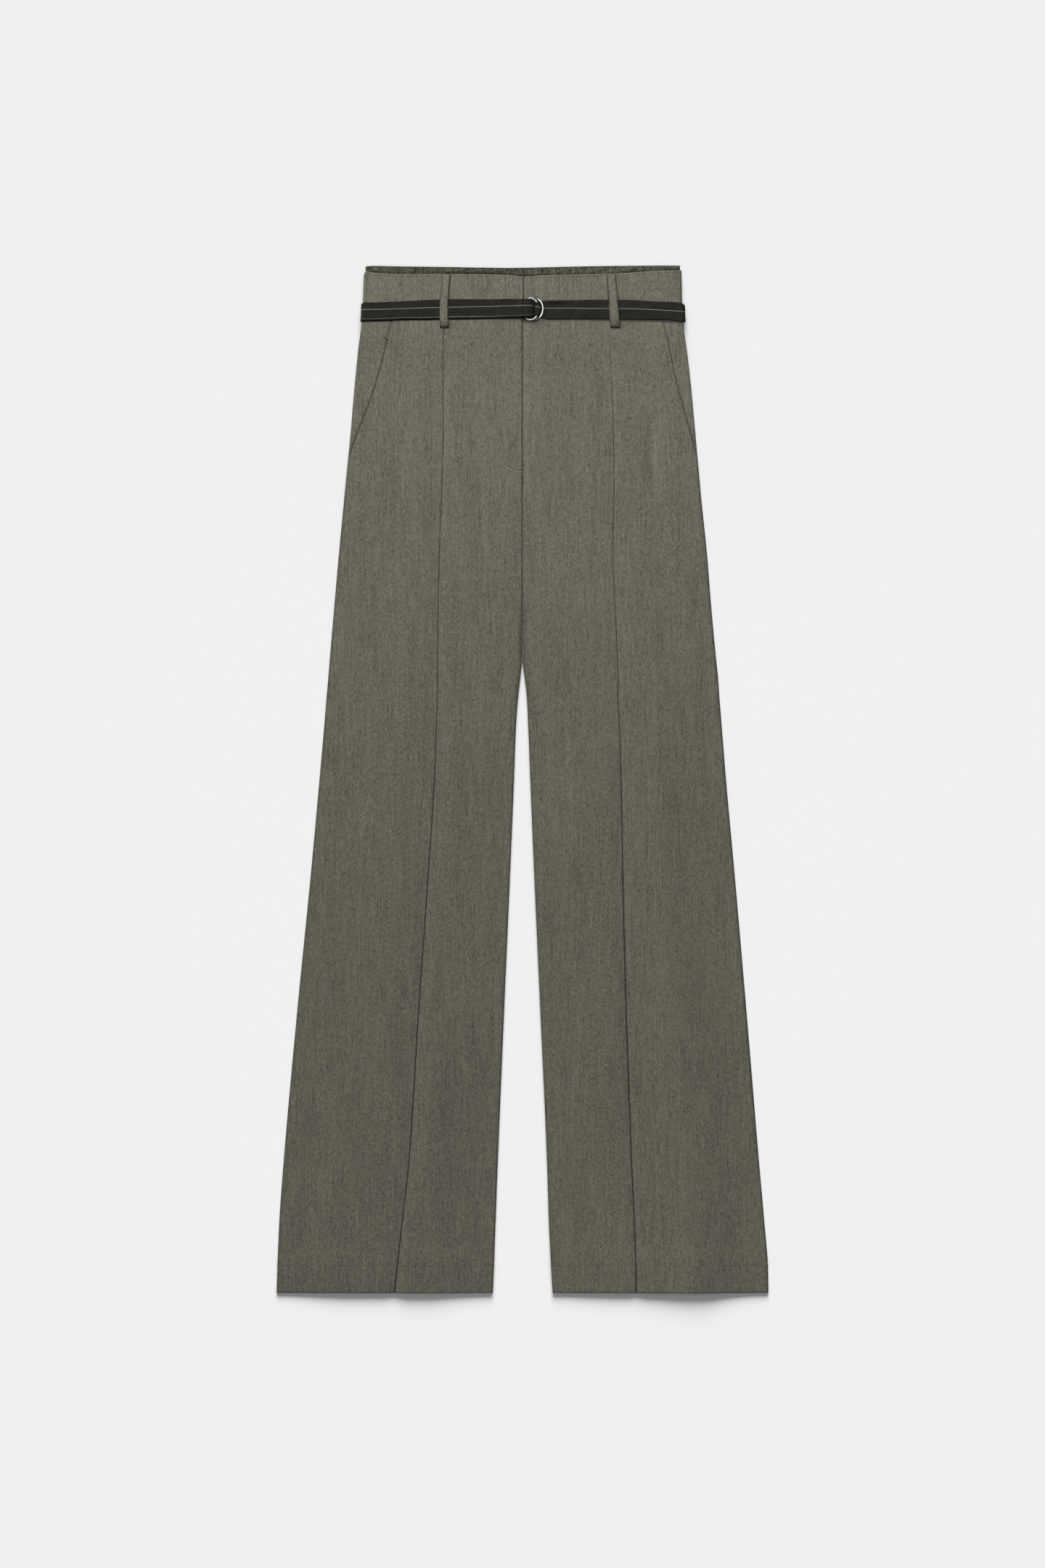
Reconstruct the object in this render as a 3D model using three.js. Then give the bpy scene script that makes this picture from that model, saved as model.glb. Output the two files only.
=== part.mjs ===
// High-waisted wide-leg trousers with a double waistband, a slim cloth belt and a double D-ring
// buckle, laid flat on their back with the front up. Millimetres, +Z up, +Y towards the waist.
// Left and right are as the trousers lie, seen from above. The origin is under the middle of the
// garment, on the surface that it lies on.
import * as THREE from 'three';

// ---- cloth and gaps ---------------------------------------------------------------------------
const CLOTH = 1.2; // wall of one trouser panel
const HEM = 2.0; // panel with its hem turned up inside
const BAND = 1.3; // outer waistband
const INNER_BAND = 1.0; // inner waistband
const STRAP = 1.0; // belt and belt loops
const WIRE = 0.75; // radius of the ring wire
const GAP = 0.3; // between neighbouring pieces
const HALF_GAP = GAP / 2;

// ---- levels along the garment -----------------------------------------------------------------
const HEM_EDGE = -550;
const HEM_STITCH = -522; // top of the turned-up hem
const GAP_APEX = 129; // where the two legs part
const CROTCH = 204; // where the fronts end and the inside legs begin
const FLY_END = 324;
const POCKET_END = 346; // lowest point of the slant pocket mouths
const BEARER_END = 330;
const WAIST_SEAM = 496; // panels end and waistbands begin
const BAND_SPLIT = 1.2; // centre-front opening of the waistbands
const UNDERLAP = 6.5; // the right front runs on under the left one at the fly

// Stretches over which the layers change as the garment is followed up to the waist.
const TURN_UP_ZONE = { from: -492, to: HEM_STITCH + 2 }; // the hem's second layer ends
const INSIDE_LEG_ZONE = { from: 260, to: 150 }; // below it the inside leg turns down as the side does
const HIP_ZONE = { from: 210, to: 330 }; // from the full leg to the flatter hip
const UNDER_ZONE = { from: 262, to: 320 }; // the underlap and the pocket bearers begin
const WAIST_ZONE = { from: 430, to: 480 }; // from the hip up to the height of the waistbands

// ---- heights of the layers at the waist, from the surface up -----------------------------------
const BACK_BAND_Z = STRAP + GAP + STRAP + GAP; // loop, then belt, then the back band
const INNER_BACK_Z = BACK_BAND_Z + BAND + GAP;
const INNER_FRONT_Z = INNER_BACK_Z + INNER_BAND + GAP;
const FRONT_BAND_Z = INNER_FRONT_Z + INNER_BAND + GAP;
const BELT_BACK_Z = STRAP + GAP + STRAP / 2; // middles of the straps
const TAIL_BACK_Z = STRAP / 2;
const BELT_FRONT_Z = FRONT_BAND_Z + BAND + GAP + STRAP / 2;
const TAIL_FRONT_Z = BELT_FRONT_Z + GAP + STRAP;

// Outline and seams, a row for each level from the waist seam to the hem: the side edges, the
// panel seams down the fronts, and the centre line that becomes the inside-leg edges.
const LEVELS = [
  { y: WAIST_SEAM, sideL: -171.3, seamL: -84.0, innerL: -0.5, innerR: -0.2, seamR: 98.0, sideR: 171.2 },
  { y: 487, sideL: -171.8, seamL: -84.0, innerL: -0.5, innerR: -0.2, seamR: 97.0, sideR: 171.5 },
  { y: 478, sideL: -173.6, seamL: -84.5, innerL: -0.5, innerR: -0.2, seamR: 94.0, sideR: 173.3 },
  { y: 431, sideL: -179.0, seamL: -85.0, innerL: -0.5, innerR: -0.2, seamR: 95.5, sideR: 179.5 },
  { y: 368, sideL: -184.5, seamL: -85.0, innerL: -0.5, innerR: -0.2, seamR: 97.5, sideR: 185.5 },
  { y: 306, sideL: -190.5, seamL: -86.5, innerL: -0.5, innerR: -0.2, seamR: 98.0, sideR: 191.0 },
  { y: 244, sideL: -196.5, seamL: -89.0, innerL: -0.5, innerR: -0.2, seamR: 97.0, sideR: 197.5 },
  { y: 182, sideL: -202.0, seamL: -90.0, innerL: -0.5, innerR: -0.2, seamR: 99.5, sideR: 202.5 },
  { y: 129, sideL: -206.5, seamL: -90.5, innerL: -0.6, innerR: -0.1, seamR: 102.0, sideR: 207.5 },
  { y: 110, sideL: -208.0, seamL: -90.5, innerL: -2.2, innerR: 2.2, seamR: 102.5, sideR: 209.5 },
  { y: 88, sideL: -210.0, seamL: -91.0, innerL: -4.7, innerR: 4.7, seamR: 102.5, sideR: 211.0 },
  { y: 57, sideL: -212.5, seamL: -92.0, innerL: -7.0, innerR: 6.2, seamR: 104.0, sideR: 213.5 },
  { y: -5, sideL: -218.0, seamL: -94.5, innerL: -9.3, innerR: 8.6, seamR: 106.0, sideR: 218.5 },
  { y: -98, sideL: -226.5, seamL: -100.5, innerL: -13.2, innerR: 12.4, seamR: 107.5, sideR: 227.0 },
  { y: -254, sideL: -242.0, seamL: -111.5, innerL: -20.0, innerR: 19.4, seamR: 111.5, sideR: 240.5 },
  { y: -410, sideL: -256.0, seamL: -121.5, innerL: -26.5, innerR: 26.3, seamR: 117.0, sideR: 253.5 },
  { y: -472, sideL: -260.5, seamL: -128.5, innerL: -28.8, innerR: 28.2, seamR: 120.0, sideR: 259.0 },
  { y: -523, sideL: -262.7, seamL: -134.0, innerL: -30.7, innerR: 30.7, seamR: 121.5, sideR: 263.0 },
  { y: -550, sideL: -263.5, seamL: -137.0, innerL: -31.8, innerR: 32.2, seamR: 122.0, sideR: 263.5 },
];

// Slant pocket mouths, a row for each level from the waist seam down to the side seam.
const POCKET_MOUTHS = [
  { y: WAIST_SEAM, left: -138.3, right: 148.2 },
  { y: 490, left: -139.7, right: 149.8 },
  { y: 471, left: -144.5, right: 155.0 },
  { y: 432, left: -155.0, right: 163.5 },
  { y: 400, left: -165.5, right: 171.8 },
  { y: 376, left: -175.0, right: 178.3 },
  { y: 346, left: -185.8, right: 186.6 },
];

// Edges of the waistbands where they lie on the front: height of the outer band's top edge, and
// of the inner band that stands up behind it.
const BAND_TOPS = [
  { x: -171, outer: 544.1, inner: 549.2 },
  { x: -156, outer: 541.9, inner: 549.6 },
  { x: -132, outer: 540.5, inner: 549.1 },
  { x: -96, outer: 540.7, inner: 548.7 },
  { x: -40, outer: 540.6, inner: 547.8 },
  { x: -14, outer: 539.5, inner: 547.5 },
  { x: 1, outer: 538.2, inner: 547.7 },
  { x: 20, outer: 539.4, inner: 548.1 },
  { x: 60, outer: 540.4, inner: 549.0 },
  { x: 96, outer: 541.1, inner: 549.6 },
  { x: 132, outer: 543.4, inner: 549.9 },
  { x: 150, outer: 544.2, inner: 550.0 },
  { x: 171, outer: 545.0, inner: 549.9 },
];
const BACK_BAND_TOP = 544;
const OUTER_BAND_ENDS = { bottomL: -171.3, topL: -169.9, bottomR: 171.2, topR: 170.3 };
const INNER_BAND_ENDS = { left: -167.4, right: 167.4 };
const INNER_BAND_FOOT = 498;
const BAND_TURN = 2.0; // the front band turns down to the side seams over this width

// Soft folds of the laid fronts: each runs between two levels and leans as it goes.
const FOLDS = [
  { x: 124, lean: 4, top: 405, foot: 250, width: 6, rise: 0.5 },
  { x: 149, lean: 4, top: 440, foot: 270, width: 7, rise: 0.6 },
  { x: -108, lean: -4, top: 400, foot: 210, width: 9, rise: 0.4 },
  { x: -152, lean: -12, top: 340, foot: 150, width: 10, rise: 0.5 },
  { x: -24, lean: -12, top: 238, foot: 60, width: 9, rise: 0.6 },
  { x: 30, lean: 10, top: 232, foot: 50, width: 9, rise: 0.6 },
  { x: 58, lean: 3, top: 60, foot: -160, width: 12, rise: 0.5 },
  { x: -182, lean: -18, top: 120, foot: -180, width: 12, rise: 0.6 },
  { x: 203, lean: 12, top: 40, foot: -330, width: 10, rise: 0.7 },
  { x: -128, lean: -12, top: -120, foot: -500, width: 16, rise: 0.7 },
  { x: 150, lean: 12, top: -60, foot: -500, width: 20, rise: 0.9 },
  { x: 70, lean: 4, top: -180, foot: -470, width: 14, rise: 0.5 },
];
const SEAM_RIDGE = { rise: 0.45, width: 4 };

// ---- curves through the tables ----------------------------------------------------------------
function smooth(value, from, to) {
  const t = Math.min(1, Math.max(0, (value - from) / (to - from)));
  return t * t * (3 - 2 * t);
}

// Share of the way through one of the stretches.
function passed(y, zone) {
  return smooth(y, zone.from, zone.to);
}

// A smooth curve through one column of a table, with the rows' own key as its variable. Its
// slope is the harmonic mean of its neighbours', so that it never swings past a row.
function column(table, key, name) {
  const rows = [...table].sort((a, b) => a[key] - b[key]);
  const last = rows.length - 1;
  const at = rows.map((row) => row[key]);
  const values = rows.map((row) => row[name]);
  const chord = (i) => (values[i + 1] - values[i]) / (at[i + 1] - at[i]);
  const slopes = values.map((_, i) => {
    if (i === 0) return chord(0);
    if (i === last) return chord(last - 1);
    const before = chord(i - 1);
    const after = chord(i);
    return before * after > 0 ? (2 * before * after) / (before + after) : 0;
  });
  return (x) => {
    const clamped = Math.min(at[last], Math.max(at[0], x));
    let i = 0;
    while (i < last - 1 && clamped > at[i + 1]) i += 1;
    const span = at[i + 1] - at[i];
    const t = (clamped - at[i]) / span;
    const swing = values[i + 1] - values[i];
    const bend = (slopes[i] * (1 - t) - slopes[i + 1] * t) * span - swing * (1 - 2 * t);
    return values[i] + swing * t + bend * t * (1 - t);
  };
}

const sideL = column(LEVELS, 'y', 'sideL');
const seamL = column(LEVELS, 'y', 'seamL');
const innerL = column(LEVELS, 'y', 'innerL');
const innerR = column(LEVELS, 'y', 'innerR');
const seamR = column(LEVELS, 'y', 'seamR');
const sideR = column(LEVELS, 'y', 'sideR');
const mouthL = column(POCKET_MOUTHS, 'y', 'left');
const mouthR = column(POCKET_MOUTHS, 'y', 'right');
const outerTop = column(BAND_TOPS, 'x', 'outer');
const innerTop = column(BAND_TOPS, 'x', 'inner');

// ---- heights of the panels --------------------------------------------------------------------
function wall(y) {
  return CLOTH + (HEM - CLOTH) * smooth(y, HEM_STITCH + 2, HEM_STITCH - 2);
}

function backLow(y) {
  return BACK_BAND_Z * passed(y, WAIST_ZONE);
}

// Lowest that the front can lie at its edges: on the back panel, on the pocket bearers and the
// fly underlap from the hips up, and over both turned-up hems.
const SLACK = 0.1;
const UNDER_LAYER = CLOTH + GAP + SLACK;

function edgeLow(y) {
  const layers = UNDER_LAYER * passed(y, UNDER_ZONE);
  const turnUp = 2 * (HEM - CLOTH) * passed(y, TURN_UP_ZONE);
  return backLow(y) + CLOTH + GAP + layers + turnUp;
}

function foldRise(x, y) {
  let rise = 0;
  for (const fold of FOLDS) {
    const along = (fold.top - y) / (fold.top - fold.foot);
    if (along <= 0 || along >= 1) continue;
    const across = (x - fold.x - fold.lean * along) / fold.width;
    rise += fold.rise * Math.sin(Math.PI * along) ** 2 * Math.exp(-across * across);
  }
  return rise;
}

function seamRise(x, y) {
  const near = Math.min(Math.abs(x - seamL(y)), Math.abs(x - seamR(y))) / SEAM_RIDGE.width;
  return SEAM_RIDGE.rise * Math.exp(-near * near);
}

// Underside of the front layer: it rises from the side seams, and on the legs from the inside
// edges too, each time by a height and over a width. At the waist it lies as high as the outer
// band.
const LEG = { rise: 1.8, width: 80 };
const HIP = { rise: 0.8, width: 40 };
const WAIST = { rise: FRONT_BAND_Z - BACK_BAND_Z - CLOTH - GAP - UNDER_LAYER, width: 6 };
const INSIDE_LEG_WIDTH = 70;

function upTheGarment(y, key) {
  const hip = (HIP[key] - LEG[key]) * passed(y, HIP_ZONE);
  const waist = (WAIST[key] - HIP[key]) * passed(y, WAIST_ZONE);
  return LEG[key] + hip + waist;
}

function fromSide(x, y) {
  const inside = Math.min(x - sideL(y), sideR(y) - x);
  return smooth(inside, 0, upTheGarment(y, 'width'));
}

function frontBase(x, y) {
  const inside = x < 0 ? innerL(y) - x : x - innerR(y);
  const down = passed(y, INSIDE_LEG_ZONE) * (1 - smooth(inside, 0, INSIDE_LEG_WIDTH));
  return edgeLow(y) + upTheGarment(y, 'rise') * fromSide(x, y) * (1 - down);
}

function frontLow(x, y) {
  const loose = fromSide(x, y) * (1 - passed(y, WAIST_ZONE));
  return frontBase(x, y) + loose * (foldRise(x, y) + seamRise(x, y));
}

// The pocket bearers and the fly underlap lie one layer below the front.
function underLow(x, y) {
  return frontBase(x, y) - UNDER_LAYER;
}

// ---- closed walls -----------------------------------------------------------------------------
function closedGeometry(points, triangles) {
  const geometry = new THREE.BufferGeometry();
  geometry.setAttribute('position', new THREE.Float32BufferAttribute(points.flat(), 3));
  geometry.setIndex(triangles.flat());
  return geometry;
}

// Two matching grids of points, the outer and the inner face of a wall, closed round their edge.
// Rows run along the second direction of the face, and the outer face shows them anticlockwise.
function closeGrids(outer, inner) {
  const rows = outer.length;
  const cols = outer[0].length;
  const points = [...outer.flat(), ...inner.flat()];
  const top = (i, j) => i * cols + j;
  const low = (i, j) => rows * cols + top(i, j);
  const triangles = [];
  const quad = (a, b, c, d) => triangles.push([a, b, c], [a, c, d]);
  for (let i = 0; i < rows - 1; i += 1) {
    for (let j = 0; j < cols - 1; j += 1) {
      quad(top(i, j), top(i, j + 1), top(i + 1, j + 1), top(i + 1, j));
      quad(low(i, j), low(i + 1, j), low(i + 1, j + 1), low(i, j + 1));
    }
    quad(top(i + 1, 0), low(i + 1, 0), low(i, 0), top(i, 0));
    quad(top(i, cols - 1), low(i, cols - 1), low(i + 1, cols - 1), top(i + 1, cols - 1));
  }
  for (let j = 0; j < cols - 1; j += 1) {
    quad(top(0, j), low(0, j), low(0, j + 1), top(0, j + 1));
    quad(top(rows - 1, j + 1), low(rows - 1, j + 1), low(rows - 1, j), top(rows - 1, j));
  }
  return closedGeometry(points, triangles);
}

// A cloth panel: rows of points between two edges, with its underside and wall at each point.
function panelGeometry({ rows, left, right, columns, low, thick }) {
  const outer = [];
  const inner = [];
  for (const v of rows) {
    const upper = [];
    const under = [];
    for (let j = 0; j <= columns; j += 1) {
      const { x, y } = between(left, right, v, j / columns);
      const z = low(x, y);
      upper.push([x, y, z + thick(y)]);
      under.push([x, y, z]);
    }
    outer.push(upper);
    inner.push(under);
  }
  return closeGrids(outer, inner);
}

function between(left, right, v, u) {
  const a = left(v);
  const b = right(v);
  return { x: a.x + (b.x - a.x) * u, y: a.y + (b.y - a.y) * u };
}

// A strap: stations along its middle line, each with its place and half width; its wall is built
// out to both sides of the surface through them.
function strapGeometry(stations, columns, place) {
  const middle = stations.map((station) => {
    const row = [];
    for (let j = 0; j <= columns; j += 1) row.push(place(station, (2 * j) / columns - 1));
    return row;
  });
  const outer = [];
  const inner = [];
  for (let i = 0; i < middle.length; i += 1) {
    const before = middle[Math.max(0, i - 1)];
    const after = middle[Math.min(middle.length - 1, i + 1)];
    const upper = [];
    const under = [];
    for (let j = 0; j <= columns; j += 1) {
      const along = new THREE.Vector3().subVectors(after[j], before[j]);
      const across = new THREE.Vector3().subVectors(middle[i][columns], middle[i][0]);
      const normal = across.cross(along).normalize().multiplyScalar(STRAP / 2);
      upper.push(new THREE.Vector3().addVectors(middle[i][j], normal).toArray());
      under.push(new THREE.Vector3().subVectors(middle[i][j], normal).toArray());
    }
    outer.push(upper);
    inner.push(under);
  }
  return closeGrids(outer, inner);
}

// ---- materials and the group ------------------------------------------------------------------
function cloth(color) {
  return new THREE.MeshStandardMaterial({ color, roughness: 0.92, metalness: 0 });
}

const TROUSER_CLOTH = cloth(0x6b695d);
const INNER_BAND_CLOTH = cloth(0x4b493d);
const BELT_CLOTH = cloth(0x2d2c29);
const RING_METAL = new THREE.MeshStandardMaterial({
  color: 0xd8d8d4,
  roughness: 0.22,
  metalness: 1,
});

const trousers = new THREE.Group();

function add(name, geometry, material) {
  const mesh = new THREE.Mesh(geometry, material);
  mesh.name = name;
  trousers.add(mesh);
}

// ---- leg and hip panels -----------------------------------------------------------------------
// Levels of the rows of points, close together where the layers climb or an edge turns.
const ROWS = [
  HEM_EDGE, -537, HEM_STITCH - 2, HEM_STITCH + 2, -507, -492, -455, -405, -345, -285, -225, -165,
  -105, -50, 5, 50, 80, 104, GAP_APEX, 152, 178, CROTCH, 232, 262, 282, 302, FLY_END - 4, FLY_END,
  BEARER_END, POCKET_END, 366, 390, 412, 431, 443, 455, 467, 478, 487,
  WAIST_SEAM - HALF_GAP,
];

function at(edge, shift = 0) {
  return (y) => ({ x: edge(y) + shift, y });
}

function rowsFrom(foot) {
  return ROWS.filter((y) => y >= foot);
}

function clothPanel(name, rows, left, right, columns, low) {
  const geometry = panelGeometry({ rows, left, right, columns, low, thick: wall });
  add(name, geometry, TROUSER_CLOTH);
}

// The backs lie flat on the surface from the knee down to the hem and up over the seat.
const backUnder = (x, y) => backLow(y);
clothPanel('back_left', ROWS, at(sideL), at(innerL), 6, backUnder);
clothPanel('back_right', ROWS, at(innerR), at(sideR), 6, backUnder);

// The fronts carry their hem inside, so that the outer face runs on smoothly over it.
const frontUnder = (x, y) => frontLow(x, y) + CLOTH - wall(y);

// Each front is cut in two: a centre panel, and a side panel that the pocket mouth cuts across.
const sidePanelL = (y) => (y > POCKET_END ? mouthL(y) : sideL(y));
const sidePanelR = (y) => (y > POCKET_END ? mouthR(y) : sideR(y));
clothPanel('front_side_left', ROWS, at(sidePanelL), at(seamL, -HALF_GAP), 8, frontUnder);
clothPanel('front_side_right', ROWS, at(seamR, HALF_GAP), at(sidePanelR), 8, frontUnder);
clothPanel('front_centre_left', ROWS, at(seamL, HALF_GAP), at(innerL), 7, frontUnder);

// The right centre panel runs on under the left one as far down as the fly opens.
const FLY_OPENS = { from: FLY_END - 1, to: FLY_END + 6 };
const FLY_SINKS = { from: 296, to: FLY_END - 4 };
const FLY_STEP = { from: 4.5, to: 0.8 }; // it steps down one layer between these places
const flyEdge = (y) => innerR(y) - UNDERLAP * passed(y, FLY_OPENS);

function flyDip(x, y) {
  return UNDER_LAYER * passed(x, FLY_STEP) * passed(y, FLY_SINKS);
}

const centreRightUnder = (x, y) => frontUnder(x, y) - flyDip(x, y);

// Its columns crowd towards the fly, where it steps down under the other edge.
const CROWDING = 1.9;

function centreRightGeometry() {
  const outer = [];
  const inner = [];
  const columns = 9;
  for (const y of ROWS) {
    const from = flyEdge(y);
    const to = seamR(y) - HALF_GAP;
    const upper = [];
    const under = [];
    for (let j = 0; j <= columns; j += 1) {
      const x = from + (to - from) * (j / columns) ** CROWDING;
      const z = centreRightUnder(x, y);
      upper.push([x, y, z + wall(y)]);
      under.push([x, y, z]);
    }
    outer.push(upper);
    inner.push(under);
  }
  return closeGrids(outer, inner);
}
add('front_centre_right', centreRightGeometry(), TROUSER_CLOTH);

// Pocket bearers: the hip pieces that show between the slant mouth and the side seam, and run on
// inside the pocket behind the mouth.
const BEARER_INSET = 24;
const bearerRows = rowsFrom(BEARER_END);
const bearerInL = (y) => mouthL(Math.max(y, POCKET_END)) + BEARER_INSET;
const bearerInR = (y) => mouthR(Math.max(y, POCKET_END)) - BEARER_INSET;
clothPanel('pocket_bearer_left', bearerRows, at(sideL), at(bearerInL), 4, underLow);
clothPanel('pocket_bearer_right', bearerRows, at(bearerInR), at(sideR), 4, underLow);

// ---- waistbands -------------------------------------------------------------------------------
function bandGeometry({ leftFoot, leftTop, rightFoot, rightTop, foot, top, low, thick, cuts }) {
  const rows = 3;
  const outer = [];
  const inner = [];
  for (let i = 0; i <= rows; i += 1) {
    const v = i / rows;
    const from = leftFoot + (leftTop - leftFoot) * v;
    const to = rightFoot + (rightTop - rightFoot) * v;
    const upper = [];
    const under = [];
    for (const u of cuts) {
      const x = from + (to - from) * u;
      const y = foot + (top(x) - foot) * v;
      const z = low(x, from, to);
      upper.push([x, y, z + thick]);
      under.push([x, y, z]);
    }
    outer.push(upper);
    inner.push(under);
  }
  return closeGrids(outer, inner);
}

// Columns of a band: even, with four more close to an end that turns down to a side seam.
const TURN_CUTS = [0.004, 0.008, 0.012, 0.0165];

function bandCuts(count, turnsLeft, turnsRight) {
  const cuts = [];
  for (let j = 0; j <= count; j += 1) cuts.push(j / count);
  if (turnsLeft) cuts.push(...TURN_CUTS);
  if (turnsRight) cuts.push(...TURN_CUTS.map((u) => 1 - u));
  return cuts.sort((a, b) => a - b);
}

const BAND_FOOT = WAIST_SEAM + HALF_GAP;
const BACK_CUTS = 10;
const FRONT_CUTS = 11;

// The front bands turn down to the side seams.
const flatBack = () => BACK_BAND_Z;
const turnedDown = (outerEnd) => (x, from, to) => {
  const inside = outerEnd < 0 ? x - from : to - x;
  return INNER_BACK_Z + (FRONT_BAND_Z - INNER_BACK_Z) * smooth(inside, 0, BAND_TURN);
};
const { bottomL, topL, bottomR, topR } = OUTER_BAND_ENDS;
const SPLIT_L = BAND_SPLIT - HALF_GAP;
const SPLIT_R = BAND_SPLIT + HALF_GAP;

function outerBand(name, left, right, top, low, cuts) {
  const geometry = bandGeometry({
    leftFoot: left.foot,
    leftTop: left.top,
    rightFoot: right.foot,
    rightTop: right.top,
    foot: BAND_FOOT,
    top,
    low,
    thick: BAND,
    cuts,
  });
  add(name, geometry, TROUSER_CLOTH);
}

const leftEnd = { foot: bottomL, top: topL };
const rightEnd = { foot: bottomR, top: topR };
const splitL = { foot: SPLIT_L, top: SPLIT_L };
const splitR = { foot: SPLIT_R, top: SPLIT_R };
const cutsL = bandCuts(FRONT_CUTS, true, false);
const cutsR = bandCuts(FRONT_CUTS, false, true);
const backTop = () => BACK_BAND_TOP;
outerBand('outer_band_back', leftEnd, rightEnd, backTop, flatBack, bandCuts(BACK_CUTS, false, false));
outerBand('outer_band_front_left', leftEnd, splitL, outerTop, turnedDown(-1), cutsL);
outerBand('outer_band_front_right', splitR, rightEnd, outerTop, turnedDown(1), cutsR);

// The inner band stands up behind the outer one and is cut the same: a back and two fronts.
function innerBand(name, left, right, z, columns) {
  const geometry = bandGeometry({
    leftFoot: left,
    leftTop: left,
    rightFoot: right,
    rightTop: right,
    foot: INNER_BAND_FOOT,
    top: innerTop,
    low: () => z,
    thick: INNER_BAND,
    cuts: bandCuts(columns, false, false),
  });
  add(name, geometry, INNER_BAND_CLOTH);
}
innerBand('inner_band_back', INNER_BAND_ENDS.left, INNER_BAND_ENDS.right, INNER_BACK_Z, 20);
innerBand('inner_band_front_left', INNER_BAND_ENDS.left, SPLIT_L, INNER_FRONT_Z, 11);
innerBand('inner_band_front_right', SPLIT_R, INNER_BAND_ENDS.right, INNER_FRONT_Z, 11);

// ---- D-rings ----------------------------------------------------------------------------------
// Two wire D-rings in the fold of the belt's left end. Each is a straight bar and a round bow,
// and lies at a slant: the bow of the upper ring dips under the belt's tail, and the bow of the
// lower ring comes up over it.
const RING_MIDDLE = 503.0;
const RING_HALF_HEIGHT = 11.6;
const RING_SHOULDER = 4.6; // from the bar to the widest point
const RING_CORNER = 2.2;
const RINGS = [
  { name: 'ring_lower', bar: 8.2, barZ: BELT_FRONT_Z + 1.55, bow: 21.8, bowZ: BELT_FRONT_Z + 3.3 },
  { name: 'ring_upper', bar: 3.5, barZ: BELT_FRONT_Z + 5.4, bow: 17.1, bowZ: BELT_FRONT_Z + 2.2 },
];
const [LOWER_RING, UPPER_RING] = RINGS;

// How far the bow stands from the left at a distance across from the ring's middle.
function bowAt(ring, across) {
  const round = ring.bow - ring.bar - RING_SHOULDER;
  return ring.bar + RING_SHOULDER + round * Math.sqrt(1 - (across / RING_HALF_HEIGHT) ** 2);
}

// Points of a turn about a centre, each radius along its own axis, between two angles in degrees.
function turn(centre, radius, from, to, steps) {
  const points = [];
  for (let i = 0; i <= steps; i += 1) {
    const a = THREE.MathUtils.degToRad(from + ((to - from) * i) / steps);
    points.push([centre.x + radius.x * Math.cos(a), centre.y + radius.y * Math.sin(a)]);
  }
  return points;
}

function slopeOf(ring) {
  return (ring.bowZ - ring.barZ) / (ring.bow - ring.bar);
}

// The ring's middle line: the bow, a corner, the bar, and the other corner back to the bow.
const BOW_STEPS = 20;
const CORNER_STEPS = 5;

function ringPath(ring) {
  const round = ring.bow - ring.bar - RING_SHOULDER;
  const cornerY = RING_HALF_HEIGHT - RING_CORNER;
  const corner = { x: RING_SHOULDER, y: RING_CORNER };
  const upper = turn({ x: RING_SHOULDER, y: cornerY }, corner, 90, 180, CORNER_STEPS);
  const lower = turn({ x: RING_SHOULDER, y: -cornerY }, corner, 180, 270, CORNER_STEPS);
  const bow = turn(
    { x: RING_SHOULDER, y: 0 },
    { x: round, y: RING_HALF_HEIGHT },
    -90,
    90,
    BOW_STEPS,
  );
  const bar = [0.5, 0, -0.5].map((share) => [0, cornerY * share]);
  const flat = [...bow, ...upper.slice(1), ...bar, ...lower.slice(0, -1)];
  return flat.map(([p, q]) => {
    const z = ring.barZ + slopeOf(ring) * p;
    return new THREE.Vector3(ring.bar + p, RING_MIDDLE + q, z);
  });
}

function ringGeometry(ring) {
  const path = ringPath(ring);
  const sides = 8;
  const points = [];
  const triangles = [];
  const up = new THREE.Vector3(-slopeOf(ring), 0, 1).normalize();
  path.forEach((point, i) => {
    const before = path[(i + path.length - 1) % path.length];
    const after = path[(i + 1) % path.length];
    const along = new THREE.Vector3().subVectors(after, before).normalize();
    const out = new THREE.Vector3().crossVectors(along, up).normalize();
    for (let k = 0; k < sides; k += 1) {
      const a = (2 * Math.PI * k) / sides;
      const place = point.clone();
      place.addScaledVector(out, WIRE * Math.cos(a));
      place.addScaledVector(up, WIRE * Math.sin(a));
      points.push(place.toArray());
    }
  });
  for (let i = 0; i < path.length; i += 1) {
    const next = (i + 1) % path.length;
    for (let k = 0; k < sides; k += 1) {
      const a = i * sides + k;
      const b = i * sides + ((k + 1) % sides);
      const c = next * sides + ((k + 1) % sides);
      const d = next * sides + k;
      triangles.push([a, c, b], [a, d, c]);
    }
  }
  return closedGeometry(points, triangles);
}
for (const ring of RINGS) add(ring.name, ringGeometry(ring), RING_METAL);

// ---- belt -------------------------------------------------------------------------------------
// Middle line and width of the strap where it lies on the front, a row for each place.
const BELT_LEFT_LINE = [
  { x: -173, mid: 499.9, width: 18.5 },
  { x: -158, mid: 500.2, width: 20.2 },
  { x: -130, mid: 501.2, width: 20.2 },
  { x: -100, mid: 502.2, width: 21.5 },
  { x: -70, mid: 502.9, width: 21.6 },
  { x: -40, mid: 503.0, width: 21.0 },
  { x: -8, mid: 503.5, width: 20.4 },
  { x: 8, mid: 503.2, width: 19.2 },
  { x: 12, mid: 503.1, width: 16.6 },
];
const BELT_RIGHT_LINE = [
  { x: 15.6, mid: 503.0, width: 14.2 },
  { x: 24, mid: 502.9, width: 16.6 },
  { x: 92, mid: 501.3, width: 20.2 },
  { x: 140, mid: 500.3, width: 20.2 },
  { x: 173, mid: 499.6, width: 19.8 },
];
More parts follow.
